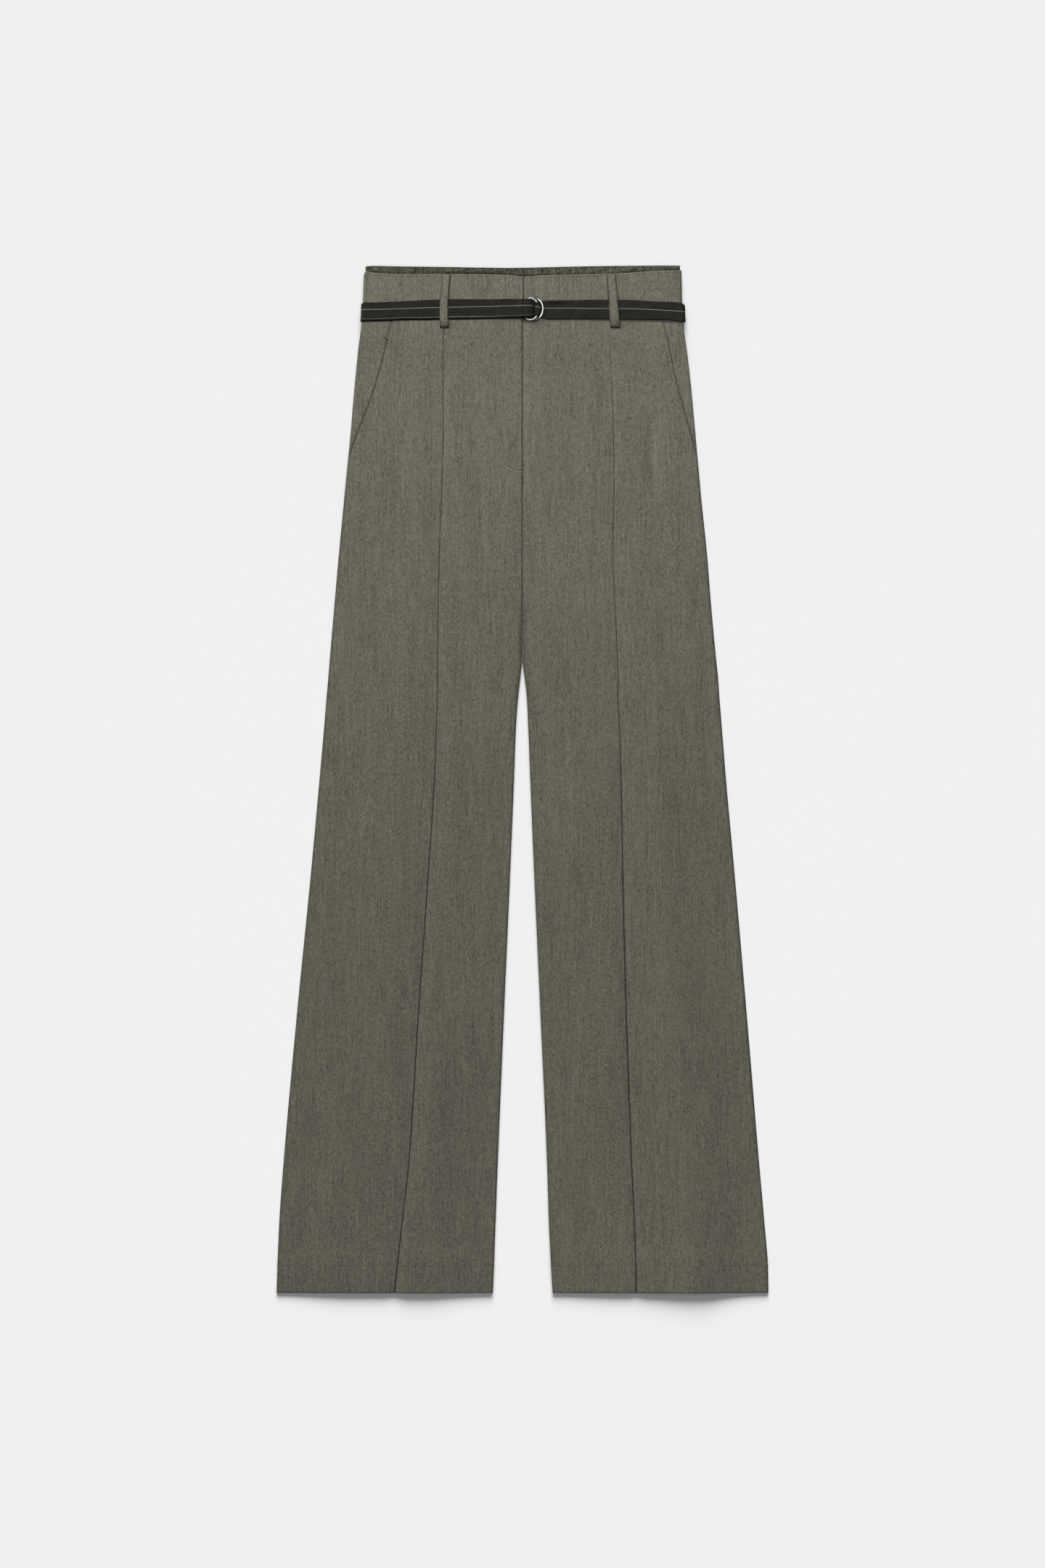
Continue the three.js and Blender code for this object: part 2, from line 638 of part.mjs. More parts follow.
const TAIL_LINE = [
  { x: 15.6, mid: 503.0, width: 14.2 },
  { x: 23, mid: 502.8, width: 19.0 },
  { x: 30, mid: 502.6, width: 20.4 },
  { x: 55, mid: 502.9, width: 20.6 },
  { x: 75, mid: 503.2, width: 21.3 },
  { x: 112, mid: 502.9, width: 21.4 },
  { x: 140, mid: 501.7, width: 20.2 },
  { x: 158, mid: 500.9, width: 19.5 },
  { x: 173, mid: 499.7, width: 18.9 },
];
const BACK_LINE = { mid: 500, width: 20.2 };
const WRAP_FROM = 150; // from here out the line passes over to that of the back
const WRAP_AT_BACK = 0.5; // share of the front's line still held where the back begins
const SIDE_LEAN = 0.6; // round the sides its lower edge stands out past its middle by this much
const SIDE_SET_IN = 0.08; // and the whole strap is drawn in by this much
const SIDE_X = 172.7; // middle of the strap's wall at the side
const FRONT_ROUND = 3.5;
const BACK_ROUND = 1.3;
const RETURN_END = -20; // the left end is turned back under itself as far as this

function straight(from, to, z, step) {
  const count = Math.ceil(Math.abs(to - from) / step);
  const stations = [];
  for (let i = 0; i <= count; i += 1) stations.push({ x: from + ((to - from) * i) / count, z });
  return stations;
}

function arc(x, z, radius, fromDegrees, toDegrees, steps) {
  const stations = [];
  for (let i = 0; i <= steps; i += 1) {
    const a = THREE.MathUtils.degToRad(fromDegrees + ((toDegrees - fromDegrees) * i) / steps);
    stations.push({ x: x + radius * Math.cos(a), z: z + radius * Math.sin(a) });
  }
  return stations;
}

// Round the left or right side (sign) from the back to the front, some way outside the cloth.
function roundSide(sign, outwards) {
  const backCentre = { x: SIDE_X - BACK_ROUND, z: BELT_BACK_Z + BACK_ROUND };
  const frontCentre = { x: SIDE_X - FRONT_ROUND, z: BELT_FRONT_Z - FRONT_ROUND };
  const stations = [
    ...arc(backCentre.x, backCentre.z, BACK_ROUND + outwards, -90, 0, 5),
    ...arc(frontCentre.x, frontCentre.z, FRONT_ROUND + outwards, 0, 90, 6),
  ];
  return stations.map(({ x, z }) => ({ x: sign * x, z, side: true }));
}

function withLine(stations, line, back) {
  const mid = column(line, 'x', 'mid');
  const width = column(line, 'x', 'width');
  return stations.map((station) => {
    const wrap = smooth(Math.abs(station.x), WRAP_FROM, SIDE_X);
    const down = station.side ? smooth(station.z, BELT_FRONT_Z, BELT_BACK_Z) : Number(back);
    const share = back ? wrap * WRAP_AT_BACK : 1 - down * (1 - WRAP_AT_BACK);
    return {
      ...station,
      down,
      mid: BACK_LINE.mid + (mid(station.x) - BACK_LINE.mid) * share,
      half: (width(station.x) * (1 - down) + BACK_LINE.width * down) / 2,
    };
  });
}

// Stations that fall together where two stretches meet are kept once.
function joined(...stretches) {
  const stations = stretches.flat();
  return stations.filter((station, i) => {
    if (i === 0) return true;
    const last = stations[i - 1];
    return Math.hypot(station.x - last.x, station.z - last.z) > 0.05;
  });
}

function through(rows, stepsEach) {
  const points = rows.map(({ x, lift }) => new THREE.Vector3(x, 0, BELT_FRONT_Z + lift));
  const curve = new THREE.CatmullRomCurve3(points);
  return curve.getPoints((rows.length - 1) * stepsEach).map((p) => ({ x: p.x, z: p.z }));
}

function plainPlace(station, across) {
  const out = station.side ? (SIDE_LEAN * across - SIDE_SET_IN) * (1 - station.down) : 0;
  const x = station.x + Math.sign(station.x) * out;
  return new THREE.Vector3(x, station.mid - across * station.half, station.z);
}

// Left half: from the centre back round the left side and over the front, then over both ring
// bars and back under itself. The rows follow the strap over the bars, by its height above the
// level at which the belt lies on the front.
const ONE_OVER = STRAP + GAP;
const OVER_BARS = [
  { x: RETURN_END - 7, lift: 0 },
  { x: RETURN_END - 2, lift: ONE_OVER - 0.1 },
  { x: RETURN_END + 5, lift: ONE_OVER + 0.05 },
  { x: -6, lift: ONE_OVER + 0.4 },
  { x: -1, lift: 4.9 },
  { x: UPPER_RING.bar, lift: 7.05 },
  { x: 7.6, lift: 6.5 },
  { x: 10.8, lift: 4.6 },
  { x: 11.9, lift: 2.6 },
  { x: 11.5, lift: 0.95 },
  { x: 10.0, lift: 0.1 },
  { x: 8.0, lift: 0 },
];
const leftStations = joined(
  withLine(straight(-HALF_GAP, BACK_ROUND - SIDE_X, BELT_BACK_Z, 45), BELT_LEFT_LINE, true),
  withLine(roundSide(-1, 0), BELT_LEFT_LINE, false),
  withLine(straight(FRONT_ROUND - SIDE_X, RETURN_END - 7, BELT_FRONT_Z, 16), BELT_LEFT_LINE, false),
  withLine(through(OVER_BARS, 3), BELT_LEFT_LINE, false),
  withLine(straight(8, RETURN_END, BELT_FRONT_Z, 7), BELT_LEFT_LINE, false),
);
add('belt_left', strapGeometry(leftStations, 2, plainPlace), BELT_CLOTH);

// Right half: from the centre back round the right side, under both bows, up through the rings,
// back over the upper ring's bow and under the lower one's, and on over itself round the side.
const TURN = { x: 15.6, radius: 2.3 };
const TAIL_LAID = 24;
const TAIL_END = 120;
const turnTop = BELT_FRONT_Z + 2 * TURN.radius;

const CLEAR_OF_UPPER = 0.3; // it starts down this far beyond the middle of the upper bow
const CLEAR_OF_LOWER = 1.3; // and is down this far before the middle of the lower bow

function tailHeight(x, across) {
  const from = Math.max(TURN.x, bowAt(UPPER_RING, across) + CLEAR_OF_UPPER);
  const to = bowAt(LOWER_RING, across) - CLEAR_OF_LOWER;
  return TAIL_FRONT_Z + (turnTop - TAIL_FRONT_Z) * (1 - smooth(x, from, to));
}

function rightPlace(station, across) {
  const place = plainPlace(station, across);
  if (station.laid) place.z = tailHeight(station.x, place.y - RING_MIDDLE);
  return place;
}

const overBow = straight(TURN.x, TAIL_LAID, 0, 0.7).map((station) => ({ ...station, laid: true }));
const rightStations = joined(
  withLine(straight(HALF_GAP, SIDE_X - BACK_ROUND, BELT_BACK_Z, 45), BELT_RIGHT_LINE, true),
  withLine(roundSide(1, 0), BELT_RIGHT_LINE, false),
  withLine(straight(SIDE_X - FRONT_ROUND, TURN.x, BELT_FRONT_Z, 16), BELT_RIGHT_LINE, false),
  withLine(arc(TURN.x, BELT_FRONT_Z + TURN.radius, TURN.radius, 270, 90, 8), BELT_RIGHT_LINE, false),
  withLine(overBow, TAIL_LINE, false),
  withLine(straight(TAIL_LAID, SIDE_X - FRONT_ROUND, TAIL_FRONT_Z, 16), TAIL_LINE, false),
  withLine(roundSide(1, ONE_OVER).reverse(), TAIL_LINE, false),
  withLine(straight(SIDE_X - BACK_ROUND, TAIL_END, TAIL_BACK_Z, 17), TAIL_LINE, true),
);
add('belt_right', strapGeometry(rightStations, 4, rightPlace), BELT_CLOTH);

// ---- belt loops -------------------------------------------------------------------------------
// Each front loop starts at the top edge of the outer band, passes over the belt, and ends below
// the waist seam, turned under itself. The back loops pass under the belt as they lie.
const FRONT_LOOPS = [
  { name: 'loop_front_left', top: -81.4, middle: -84.2, foot: -83.6, width: 9.1, lift: BELT_FRONT_Z },
  { name: 'loop_front_right', top: 94.8, middle: 97.8, foot: 99.2, width: 10.0, lift: TAIL_FRONT_Z },
];
const BACK_LOOPS = [
  { name: 'loop_back_left', x: -88 },
  { name: 'loop_back_centre', x: 0 },
  { name: 'loop_back_right', x: 88 },
];
const LOOP_FOOT = 483;
const LOOP_TURN = 0.65; // radius of the turned-under end
const LOOP_RETURN = [486.6, 489.2]; // the turned-under end lies flat between these levels

// A front loop's way over the belt: share of the climb made, and how far it stands off.
const LOOP_CLIMB = [
  { y: 533, share: 0, puff: 0 },
  { y: 525, share: 0, puff: 0.1 },
  { y: 520.5, share: 0.45, puff: 0 },
  { y: 516.4, share: 1, puff: 0 },
  { y: 510, share: 1, puff: 0.1 },
  { y: 500, share: 1, puff: 0.15 },
  { y: 491, share: 1, puff: 0 },
];
const LOOP_DROP = { y: 487.5, share: 0.4 }; // halfway from the belt down to the turned end

// A back loop's way under the belt: share of the drop from where it is sewn to the surface.
const BACK_LOOP_HALF = 4.5;
const BACK_LOOP_DROP = [
  { y: 541, sunk: 0 },
  { y: 516.5, sunk: 0.04 },
  { y: 514, sunk: 0.7 },
  { y: 511, sunk: 1 },
  { y: 489, sunk: 1 },
  { y: 486.5, sunk: 0.7 },
  { y: 484.5, sunk: 0.04 },
  { y: 480.5, sunk: 0 },
];

const loopPlace = (station, across) =>
  new THREE.Vector3(station.x + across * station.half, station.y, station.z);
const backLoopPlace = (station, across) => loopPlace(station, -across);

for (const loop of FRONT_LOOPS) {
  const line = [
    { y: 541, x: loop.top },
    { y: 502, x: loop.middle },
    { y: LOOP_FOOT, x: loop.foot },
  ];
  const x = column(line, 'y', 'x');
  const high = loop.lift + ONE_OVER;
  const turned = FRONT_BAND_Z + CLOTH + GAP + STRAP / 2;
  const folded = turned + 2 * LOOP_TURN;
  const footY = LOOP_FOOT + LOOP_TURN + STRAP / 2;
  const path = [
    [outerTop(loop.top) - 0.2, BELT_FRONT_Z],
    ...LOOP_CLIMB.map(({ y, share, puff }) => [
      y,
      BELT_FRONT_Z + (high - BELT_FRONT_Z) * share + puff,
    ]),
    [LOOP_DROP.y, folded + (high - folded) * LOOP_DROP.share],
    [footY, folded],
    [footY - LOOP_TURN, turned + LOOP_TURN],
    [footY, turned],
    ...LOOP_RETURN.map((y) => [y, turned]),
  ];
  const stations = path.map(([y, z]) => ({ x: x(y), y, z, half: loop.width / 2 }));
  add(loop.name, strapGeometry(stations, 1, loopPlace), TROUSER_CLOTH);
}

for (const loop of BACK_LOOPS) {
  const drop = BELT_BACK_Z - STRAP / 2;
  const stations = BACK_LOOP_DROP.map(({ y, sunk }) => ({
    x: loop.x,
    y,
    z: BELT_BACK_Z - drop * sunk,
    half: BACK_LOOP_HALF,
  }));
  add(loop.name, strapGeometry(stations, 1, backLoopPlace), TROUSER_CLOTH);
}

export default trousers;
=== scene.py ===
import math

import bpy
import numpy as np
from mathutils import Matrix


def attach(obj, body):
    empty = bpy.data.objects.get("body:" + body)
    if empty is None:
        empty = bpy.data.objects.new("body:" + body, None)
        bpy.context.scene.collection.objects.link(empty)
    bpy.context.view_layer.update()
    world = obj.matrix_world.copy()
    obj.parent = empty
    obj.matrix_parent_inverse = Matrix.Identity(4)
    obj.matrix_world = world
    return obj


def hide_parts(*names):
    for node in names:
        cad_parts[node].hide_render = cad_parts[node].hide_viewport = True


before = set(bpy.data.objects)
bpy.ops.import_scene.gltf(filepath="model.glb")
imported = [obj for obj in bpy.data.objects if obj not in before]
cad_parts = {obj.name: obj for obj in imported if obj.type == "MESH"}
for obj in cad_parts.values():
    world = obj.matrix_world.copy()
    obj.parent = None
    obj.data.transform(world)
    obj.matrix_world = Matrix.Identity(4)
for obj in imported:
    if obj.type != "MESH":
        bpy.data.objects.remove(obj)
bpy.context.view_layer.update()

# ---- table, lamps and camera -------------------------------------------------------------------
# The trousers lie on a wide, pale, matt table, waist away from the viewer, who looks straight
# down. A low wide lamp beyond the waist draws a short soft shadow below every hem, and three lamps
# that only reach the cloth bring out its folds and let it fall off towards the hems.


def unit_vector(values):
    values = np.asarray(values, float)
    return values / np.linalg.norm(values)


def matt_finish(name, colour, roughness):
    finish = bpy.data.materials.new(name)
    finish.use_nodes = True
    shader = finish.node_tree.nodes["Principled BSDF"]
    shader.inputs["Base Color"].default_value = (*colour, 1)
    shader.inputs["Roughness"].default_value = roughness
    shader.inputs["Specular IOR Level"].default_value = 0.0
    return finish


table_half, table_z = 9.0, -0.0002
table_corners = [
    (x * table_half, y * table_half, table_z) for x, y in ((-1, -1), (1, -1), (1, 1), (-1, 1))
]
table_mesh = bpy.data.meshes.new("table")
table_mesh.from_pydata(table_corners, [], [(0, 1, 2, 3)])
table_top = bpy.data.objects.new("table", table_mesh)
bpy.context.scene.collection.objects.link(table_top)
table_mesh.materials.append(matt_finish("pale_table", (0.8, 0.8, 0.8), 1.0))

sky = bpy.data.worlds.new("studio")
bpy.context.scene.world = sky
sky.use_nodes = True
sky.node_tree.nodes["Background"].inputs["Color"].default_value = (1, 1, 1, 1)
sky.node_tree.nodes["Background"].inputs["Strength"].default_value = 0.10
bpy.context.scene.view_settings.view_transform = "Standard"


def lamp(name, kind, strength, place, aim, reach=None, **settings):
    """A lamp for all, for the table alone ("INCLUDE") or for all but the table ("EXCLUDE")."""
    light = bpy.data.lights.new(name, kind)
    light.energy = strength
    for key, value in settings.items():
        setattr(light, key, value)
    holder = bpy.data.objects.new(name, light)
    bpy.context.scene.collection.objects.link(holder)
    holder.location = place
    towards = unit_vector(np.subtract(aim, place))
    heading = math.atan2(towards[1], towards[0]) - math.pi / 2
    holder.rotation_euler = (math.acos(-towards[2]), 0, heading)
    if reach:
        lit = bpy.data.collections.new(name + "_reach")
        lit.objects.link(table_top)
        lit.collection_objects[0].light_linking.link_state = reach
        holder.light_linking.receiver_collection = lit


low_height = math.radians(31)
low_place = (0, math.cos(low_height) * 4, math.sin(low_height) * 4)
middle_of_table = (0, 0, 0)
lamp("overhead_lamp", "AREA", 107, (0, 0, 7), (0, 0.001, 0), shape="DISK", size=6.6)
lamp("low_lamp", "SUN", 4.93, low_place, middle_of_table, "INCLUDE", angle=math.radians(38))
lamp(
    "waist_lamp", "AREA", 7.5, (0.0, 0.86, 0.88), (0, 0.15, 0), "EXCLUDE",
    shape="RECTANGLE", size=1.5, size_y=0.35,
)
lamp("side_lamp", "SUN", 1.9, (-2.6, 1.6, 1.5), middle_of_table, "EXCLUDE", angle=math.radians(22))
lamp(
    "hem_lamp", "AREA", 0.14, (0.19, -0.53, 0.38), (0.19, -0.53, 0), "EXCLUDE",
    shape="RECTANGLE", size=0.2, size_y=0.3,
)

camera_height = 5.6
view_centre_y = -0.00506
view_length = 1.6805
lens = bpy.data.cameras.new("camera")
lens.sensor_fit = "VERTICAL"
lens.sensor_height = 36
lens.lens = lens.sensor_height * camera_height / view_length
camera = bpy.data.objects.new("camera", lens)
camera.location = (0, view_centre_y, camera_height)
bpy.context.scene.collection.objects.link(camera)
bpy.context.scene.camera = camera

# ---- trouser cloth -----------------------------------------------------------------------------
# A grey-green wool look: a warp of light and dark yarns that shows as short upright streaks, a
# dark weft between them, and a dry hand with hardly any sheen.


class Thread:
    """A socket in a finish: sums on it add Math nodes, and node() adds any other node."""

    def __init__(self, tree, socket=None):
        self.tree = tree
        self.socket = socket

    def node(self, kind, settings=None, inputs=None, out=0):
        made = self.tree.nodes.new(kind)
        for key, value in (settings or {}).items():
            setattr(made, key, value)
        for key, value in (inputs or {}).items():
            if isinstance(value, Thread):
                self.tree.links.new(value.socket, made.inputs[key])
            else:
                made.inputs[key].default_value = value
        return Thread(self.tree, made.outputs[out])

    def maths(self, operation, first, second=0.0, third=0.0):
        return self.node(
            "ShaderNodeMath", {"operation": operation}, {0: first, 1: second, 2: third}
        )

    def __add__(self, other):
        return self.maths("ADD", self, other)

    def __sub__(self, other):
        return self.maths("SUBTRACT", self, other)

    def __rsub__(self, other):
        return self.maths("SUBTRACT", other, self)

    def __mul__(self, other):
        return self.maths("MULTIPLY", self, other)

    def step(self, low, high):
        """0 below low, 1 above high, and a soft ramp between them."""
        return self.node(
            "ShaderNodeMapRange",
            {"interpolation_type": "SMOOTHSTEP"},
            {0: self, 1: low, 2: high, 3: 0.0, 4: 1.0},
        )

    def blend(self, low, high):
        """The colour low where this is 0 and high where it is 1."""
        return self.node("ShaderNodeMix", {"data_type": "RGBA"}, {0: self, 6: low, 7: high}, out=2)

    def tinted(self, value):
        """This colour made lighter or darker by a value round 1."""
        return self.node("ShaderNodeVectorMath", {"operation": "SCALE"}, {0: self, "Scale": value})

    __radd__ = __add__
    __rmul__ = __mul__


def mottle(start, across, along, detail=0.0, seed=0.0):
    """A noise whose spots are that many millimetres across (x and z) and along (y) the cloth."""
    place = start.node("ShaderNodeTexCoord", out=3)
    spread = start.node(
        "ShaderNodeVectorMath",
        {"operation": "MULTIPLY_ADD"},
        {0: place, 1: (1000 / across, 1000 / along, 1000 / across), 2: (seed, seed * 1.7, seed)},
    )
    return start.node(
        "ShaderNodeTexNoise",
        {"noise_dimensions": "3D"},
        {"Vector": spread, "Scale": 1.0, "Detail": detail, "Roughness": 0.5},
    )


def finish_of(name, roughness, sheen=0.0, metallic=0.0, specular=0.3):
    """A new finish: its shader, and a thread to start its nodes from."""
    finish = bpy.data.materials.new(name)
    finish.use_nodes = True
    shader = finish.node_tree.nodes["Principled BSDF"]
    shader.inputs["Roughness"].default_value = roughness
    shader.inputs["Metallic"].default_value = metallic
    shader.inputs["Specular IOR Level"].default_value = specular
    shader.inputs["Sheen Weight"].default_value = sheen
    shader.inputs["Sheen Roughness"].default_value = 0.5
    return finish, shader, Thread(finish.node_tree)


def feed(thread, shader, name):
    thread.tree.links.new(thread.socket, shader.inputs[name])


def raised(start, height, depth):
    """The Normal of a relief of that depth in millimetres."""
    return start.node(
        "ShaderNodeBump", None, {"Height": height, "Distance": depth / 1000, "Strength": 1.0}
    )


def kept_place(start, key):
    """A value kept on the mesh, such as the place along a strap."""
    return start.node("ShaderNodeAttribute", {"attribute_name": key}, out=2)


def yarn_cloth(name, colour, contrast, slubs, patches=1.0, grain=(1.1, 3.8)):
    """Cloth of light and dark yarns: upright streaks, fine specks and a few thicker slubs."""
    finish, shader, start = finish_of(name, roughness=0.92, sheen=0.05, specular=0.15)
    streaks = mottle(start, *grain, 1.0)
    specks = mottle(start, 1.0, 0.9, 0.0, seed=31.0)
    runs = mottle(start, 1.3, 42.0, 1.0, seed=57.0)
    clouds = mottle(start, 5.0, 16.0, 2.0, seed=83.0)
    bands = mottle(start, 15.0, 170.0, 1.0, seed=139.0)
    thick = mottle(start, 0.9, 7.0, 0.0, seed=113.0)
    yarn = (streaks - 0.5) * (1.4 * contrast) + (specks - 0.5) * (1.25 * contrast)
    yarn = yarn + (runs - 0.5) * (0.8 * contrast) + (clouds - 0.5) * (0.2 * patches)
    yarn = yarn + (bands - 0.5) * 0.24
    yarn = yarn + thick.step(0.70, 0.80) * (0.42 * slubs)
    # The yarn's tone times the painted shading kept on the mesh: painted shade along seams, edges
    # and folds, and painted highlight on a few rims.
    tone_with_painted_shading = (yarn + 1.0) * (kept_place(start, "painted_shading") + 1.0)
    tone = start.node("ShaderNodeRGB")
    tone.socket.default_value = (*colour, 1)
    feed(tone.tinted(tone_with_painted_shading), shader, "Base Color")
    height = streaks * 0.6 + specks * 0.4 + clouds * 0.8
    feed(raised(start, height, 0.16), shader, "Normal")
    return finish


trouser_cloth = yarn_cloth("trouser_cloth", (0.1394, 0.1344, 0.1022), contrast=0.84, slubs=0.2)

# ---- fronts ------------------------------------------------------------------------------------
# Each front is two pieces of cloth joined by a long seam from the waist to the hem, its
# allowances pressed to the right under a low ridge. The side piece is cut away by the slant
# pocket mouth. The centre pieces meet at the fly and down the inside legs, and every hem is
# turned up inside and stitched. Sizes are in millimetres.


def smooth(value, start, end):
    t = np.clip((np.asarray(value, float) - start) / (end - start), 0, 1)
    return t * t * (3 - 2 * t)


def hump(value, width):
    """1 at 0, falling away softly on both sides."""
    return np.exp(-((value / width) ** 2))


def line_of(rows, key, name):
    """A smooth line through one column of a table, which never swings past a row."""
    rows = sorted(rows, key=lambda row: row[key])
    at = np.array([row[key] for row in rows], float)
    value = np.array([row[name] for row in rows], float)
    chord = np.diff(value) / np.diff(at)
    before, after = chord[:-1], chord[1:]
    same = before * after > 0
    slope = np.concatenate([chord[:1], np.zeros(len(before)), chord[-1:]])
    slope[1:-1][same] = 2 * (before * after)[same] / (before + after)[same]

    def line(x):
        x = np.clip(np.asarray(x, float), at[0], at[-1])
        i = np.clip(np.searchsorted(at, x) - 1, 0, len(at) - 2)
        span = at[i + 1] - at[i]
        t = (x - at[i]) / span
        swing = value[i + 1] - value[i]
        bend = (slope[i] * (1 - t) - slope[i + 1] * t) * span - swing * (1 - 2 * t)
        return value[i] + swing * t + bend * t * (1 - t)

    return line


def rows_of(names, rows):
    """A table: the values of every row under the names of their columns."""
    return [dict(zip(names.split(), row)) for row in rows]


levels = rows_of("y side_l seam_l inner_l inner_r seam_r side_r", [
    (496, -171.3, -84.0, -0.5, -0.2, 98.0, 171.2),
    (487, -171.8, -84.0, -0.5, -0.2, 97.0, 171.5),
    (478, -173.6, -84.5, -0.5, -0.2, 94.0, 173.3),
    (431, -179.0, -85.0, -0.5, -0.2, 95.5, 179.5),
    (368, -184.5, -85.0, -0.5, -0.2, 97.5, 185.5),
    (306, -190.5, -86.5, -0.5, -0.2, 98.0, 191.0),
    (244, -196.5, -89.0, -0.5, -0.2, 97.0, 197.5),
    (182, -202.0, -90.0, -0.5, -0.2, 99.5, 202.5),
    (129, -206.5, -90.5, -0.6, -0.1, 102.0, 207.5),
    (110, -208.0, -90.5, -2.2, 2.2, 102.5, 209.5),
    (88, -210.0, -91.0, -4.7, 4.7, 102.5, 211.0),
    (57, -212.5, -92.0, -7.0, 6.2, 104.0, 213.5),
    (-5, -218.0, -94.5, -9.3, 8.6, 106.0, 218.5),
    (-98, -226.5, -100.5, -13.2, 12.4, 107.5, 227.0),
    (-254, -242.0, -111.5, -20.0, 19.4, 111.5, 240.5),
    (-410, -256.0, -121.5, -26.5, 26.3, 117.0, 253.5),
    (-472, -260.5, -128.5, -28.8, 28.2, 120.0, 259.0),
    (-523, -262.7, -134.0, -30.7, 30.7, 121.5, 263.0),
    (-550, -263.5, -137.0, -31.8, 32.2, 122.0, 263.5),
])
side_l, seam_l, inner_l, inner_r, seam_r, side_r = (
    line_of(levels, "y", name)
    for name in ("side_l", "seam_l", "inner_l", "inner_r", "seam_r", "side_r")
)
mouths = rows_of("y left right", [
    (496, -138.3, 148.2),
    (490, -139.7, 149.8),
    (471, -144.5, 155.0),
    (432, -155.0, 163.5),
    (400, -165.5, 171.8),
    (376, -175.0, 178.3),
    (346, -185.8, 186.6),
])
mouth_l, mouth_r = (line_of(mouths, "y", name) for name in ("left", "right"))

cloth, hem_wall, gap = 1.2, 2.0, 0.3
hem_edge, hem_stitch, gap_apex, fly_end, pocket_end = -550, -522, 129, 324, 346
waist_seam = 496
back_band_z, front_band_z = 2.6, 6.8
under_layer = cloth + gap + 0.1
waist_climb, belt_press, knee_fade = (430, 480), (400, 480), (150, -100)
edge_roll, fly_underlap, narrowest_sheet = 1.1, 6.5, 10.0

# Folds and dents of the fronts as they lie, each between two levels and leaning as it goes.
# A rise below 0 is a trough.
creases = rows_of("x lean top foot width rise", [
    (-43, -2, 425, 175, 8, -1.1),
    (-128, -5, 425, 235, 8, -0.4),
    (-107, -4, 400, 210, 6, 0.3),
    (-152, -12, 340, 150, 9, 0.35),
    (-24, -10, 238, 70, 8, 0.5),
    (-44, -8, 200, 20, 8, -0.35),
    (-150, -12, 130, -130, 10, -0.4),
    (-182, -18, 120, -180, 11, 0.5),
    (-164, -5, -140, -520, 3, 0.25),
    (-176, -6, -220, -530, 4, -0.2),
    (-60, -12, -60, -330, 9, -0.35),
    (-110, -3, -425, -500, 11, 0.7),
    (137, 3, 415, 280, 5, -1.5),
    (127, 3, 405, 250, 5, 0.35),
    (148, 4, 335, 50, 8, -1.2),
    (172, 3, 335, 215, 5, -0.7),
    (157, 6, 470, 330, 4.5, -0.55),
    (165, 8, 440, 300, 5, 0.35),
    (30, 8, 232, 60, 8, 0.5),
    (52, 6, 190, 10, 8, -0.35),
    (58, 3, 60, -160, 9, 0.4),
    (172, 10, 60, -260, 12, -0.75),
    (203, 12, 40, -330, 9, 0.6),
    (150, 6, 20, -180, 8, 0.35),
    (214, 12, -330, -520, 13, 1.0),
    (205, 58, -430, -545, 8, -1.0),
    (70, 4, -180, -470, 14, 0.5),
    (186, 36, -60, -960, 32, 2.4),
    (-96, -16, -120, -900, 26, 1.5),
])


def back_low(y):
    return back_band_z * smooth(y, *waist_climb)


def front_base(x, y):
    """Underside of the fronts before any fold: it climbs from the side seams and inside legs."""
    hip, waist = smooth(y, 210, 330), smooth(y, *waist_climb)
    layers = under_layer * smooth(y, 262, 320)
    turn_up = 2 * (hem_wall - cloth) * smooth(y, -492, hem_stitch + 2)
    edge = back_low(y) + cloth + gap + layers + turn_up
    waist_rise = front_band_z - back_band_z - cloth - gap - under_layer
    rise = 1.8 + (0.8 - 1.8) * hip + (waist_rise - 0.8) * waist
    width = 80 - 40 * hip - 34 * waist
    from_side = smooth(np.minimum(x - side_l(y), side_r(y) - x) / width, 0, 1)
    from_inner = np.where(x < 0, inner_l(y) - x, x - inner_r(y))
    inner = 1 - smooth(y, 260, 150) * (1 - smooth(from_inner, 0, 70))
    return edge + rise * from_side * inner, from_side * (1 - waist)


def crease_rise(x, y, table):
    rise = np.zeros_like(x)
    for fold in table:
        along = (fold["top"] - y) / (fold["top"] - fold["foot"])
        across = (x - fold["x"] - fold["lean"] * along) / fold["width"]
        inside = (along > 0) & (along < 1)
        rise += np.where(inside, fold["rise"] * np.sin(np.pi * along) ** 2 * hump(across, 1), 0)
    return rise


def seam_rise(x, y):
    """Each long seam lies in a soft valley with its allowances under a low step on the right, and
    below the knee the right one has a long rise beside it."""
    rise = np.zeros_like(x)
    for seam, depth, wide in ((seam_l, 1.2, 12), (seam_r, 0.7, 9)):
        past = x - seam(y)
        rise += 0.45 * smooth(past, -1.0, 4.5) * (1 - smooth(past, 12, 30))
        rise -= depth * hump(past, wide - 4 * smooth(y, 0, -350))
    past = x - seam_r(y)
    rise += 2.4 * smooth(past, 0, 44) * (1 - smooth(past, 50, 105)) * smooth(y, 150, -40)
    return rise * (1 - smooth(y, 440, 474))


def front_low(x, y):
    base, loose = front_base(x, y)
    puff = 0.9 * smooth(y, 330, 120) * loose
    return base + puff + loose * (crease_rise(x, y, creases) + seam_rise(x, y))


def steps_between(start, end, step, close=(0, 0.12, 0.35, 0.7, 1.1, 1.8, 2.9, 4.4)):
    """Places from start to end, crowded near both ends, where the cloth rolls over its edge."""
    close = np.array(close)
    inside = np.linspace(start + close[-1], end - close[-1], int((end - start) / step) + 2)
    return np.concatenate([start + close, inside[1:-1], end - close[::-1]])


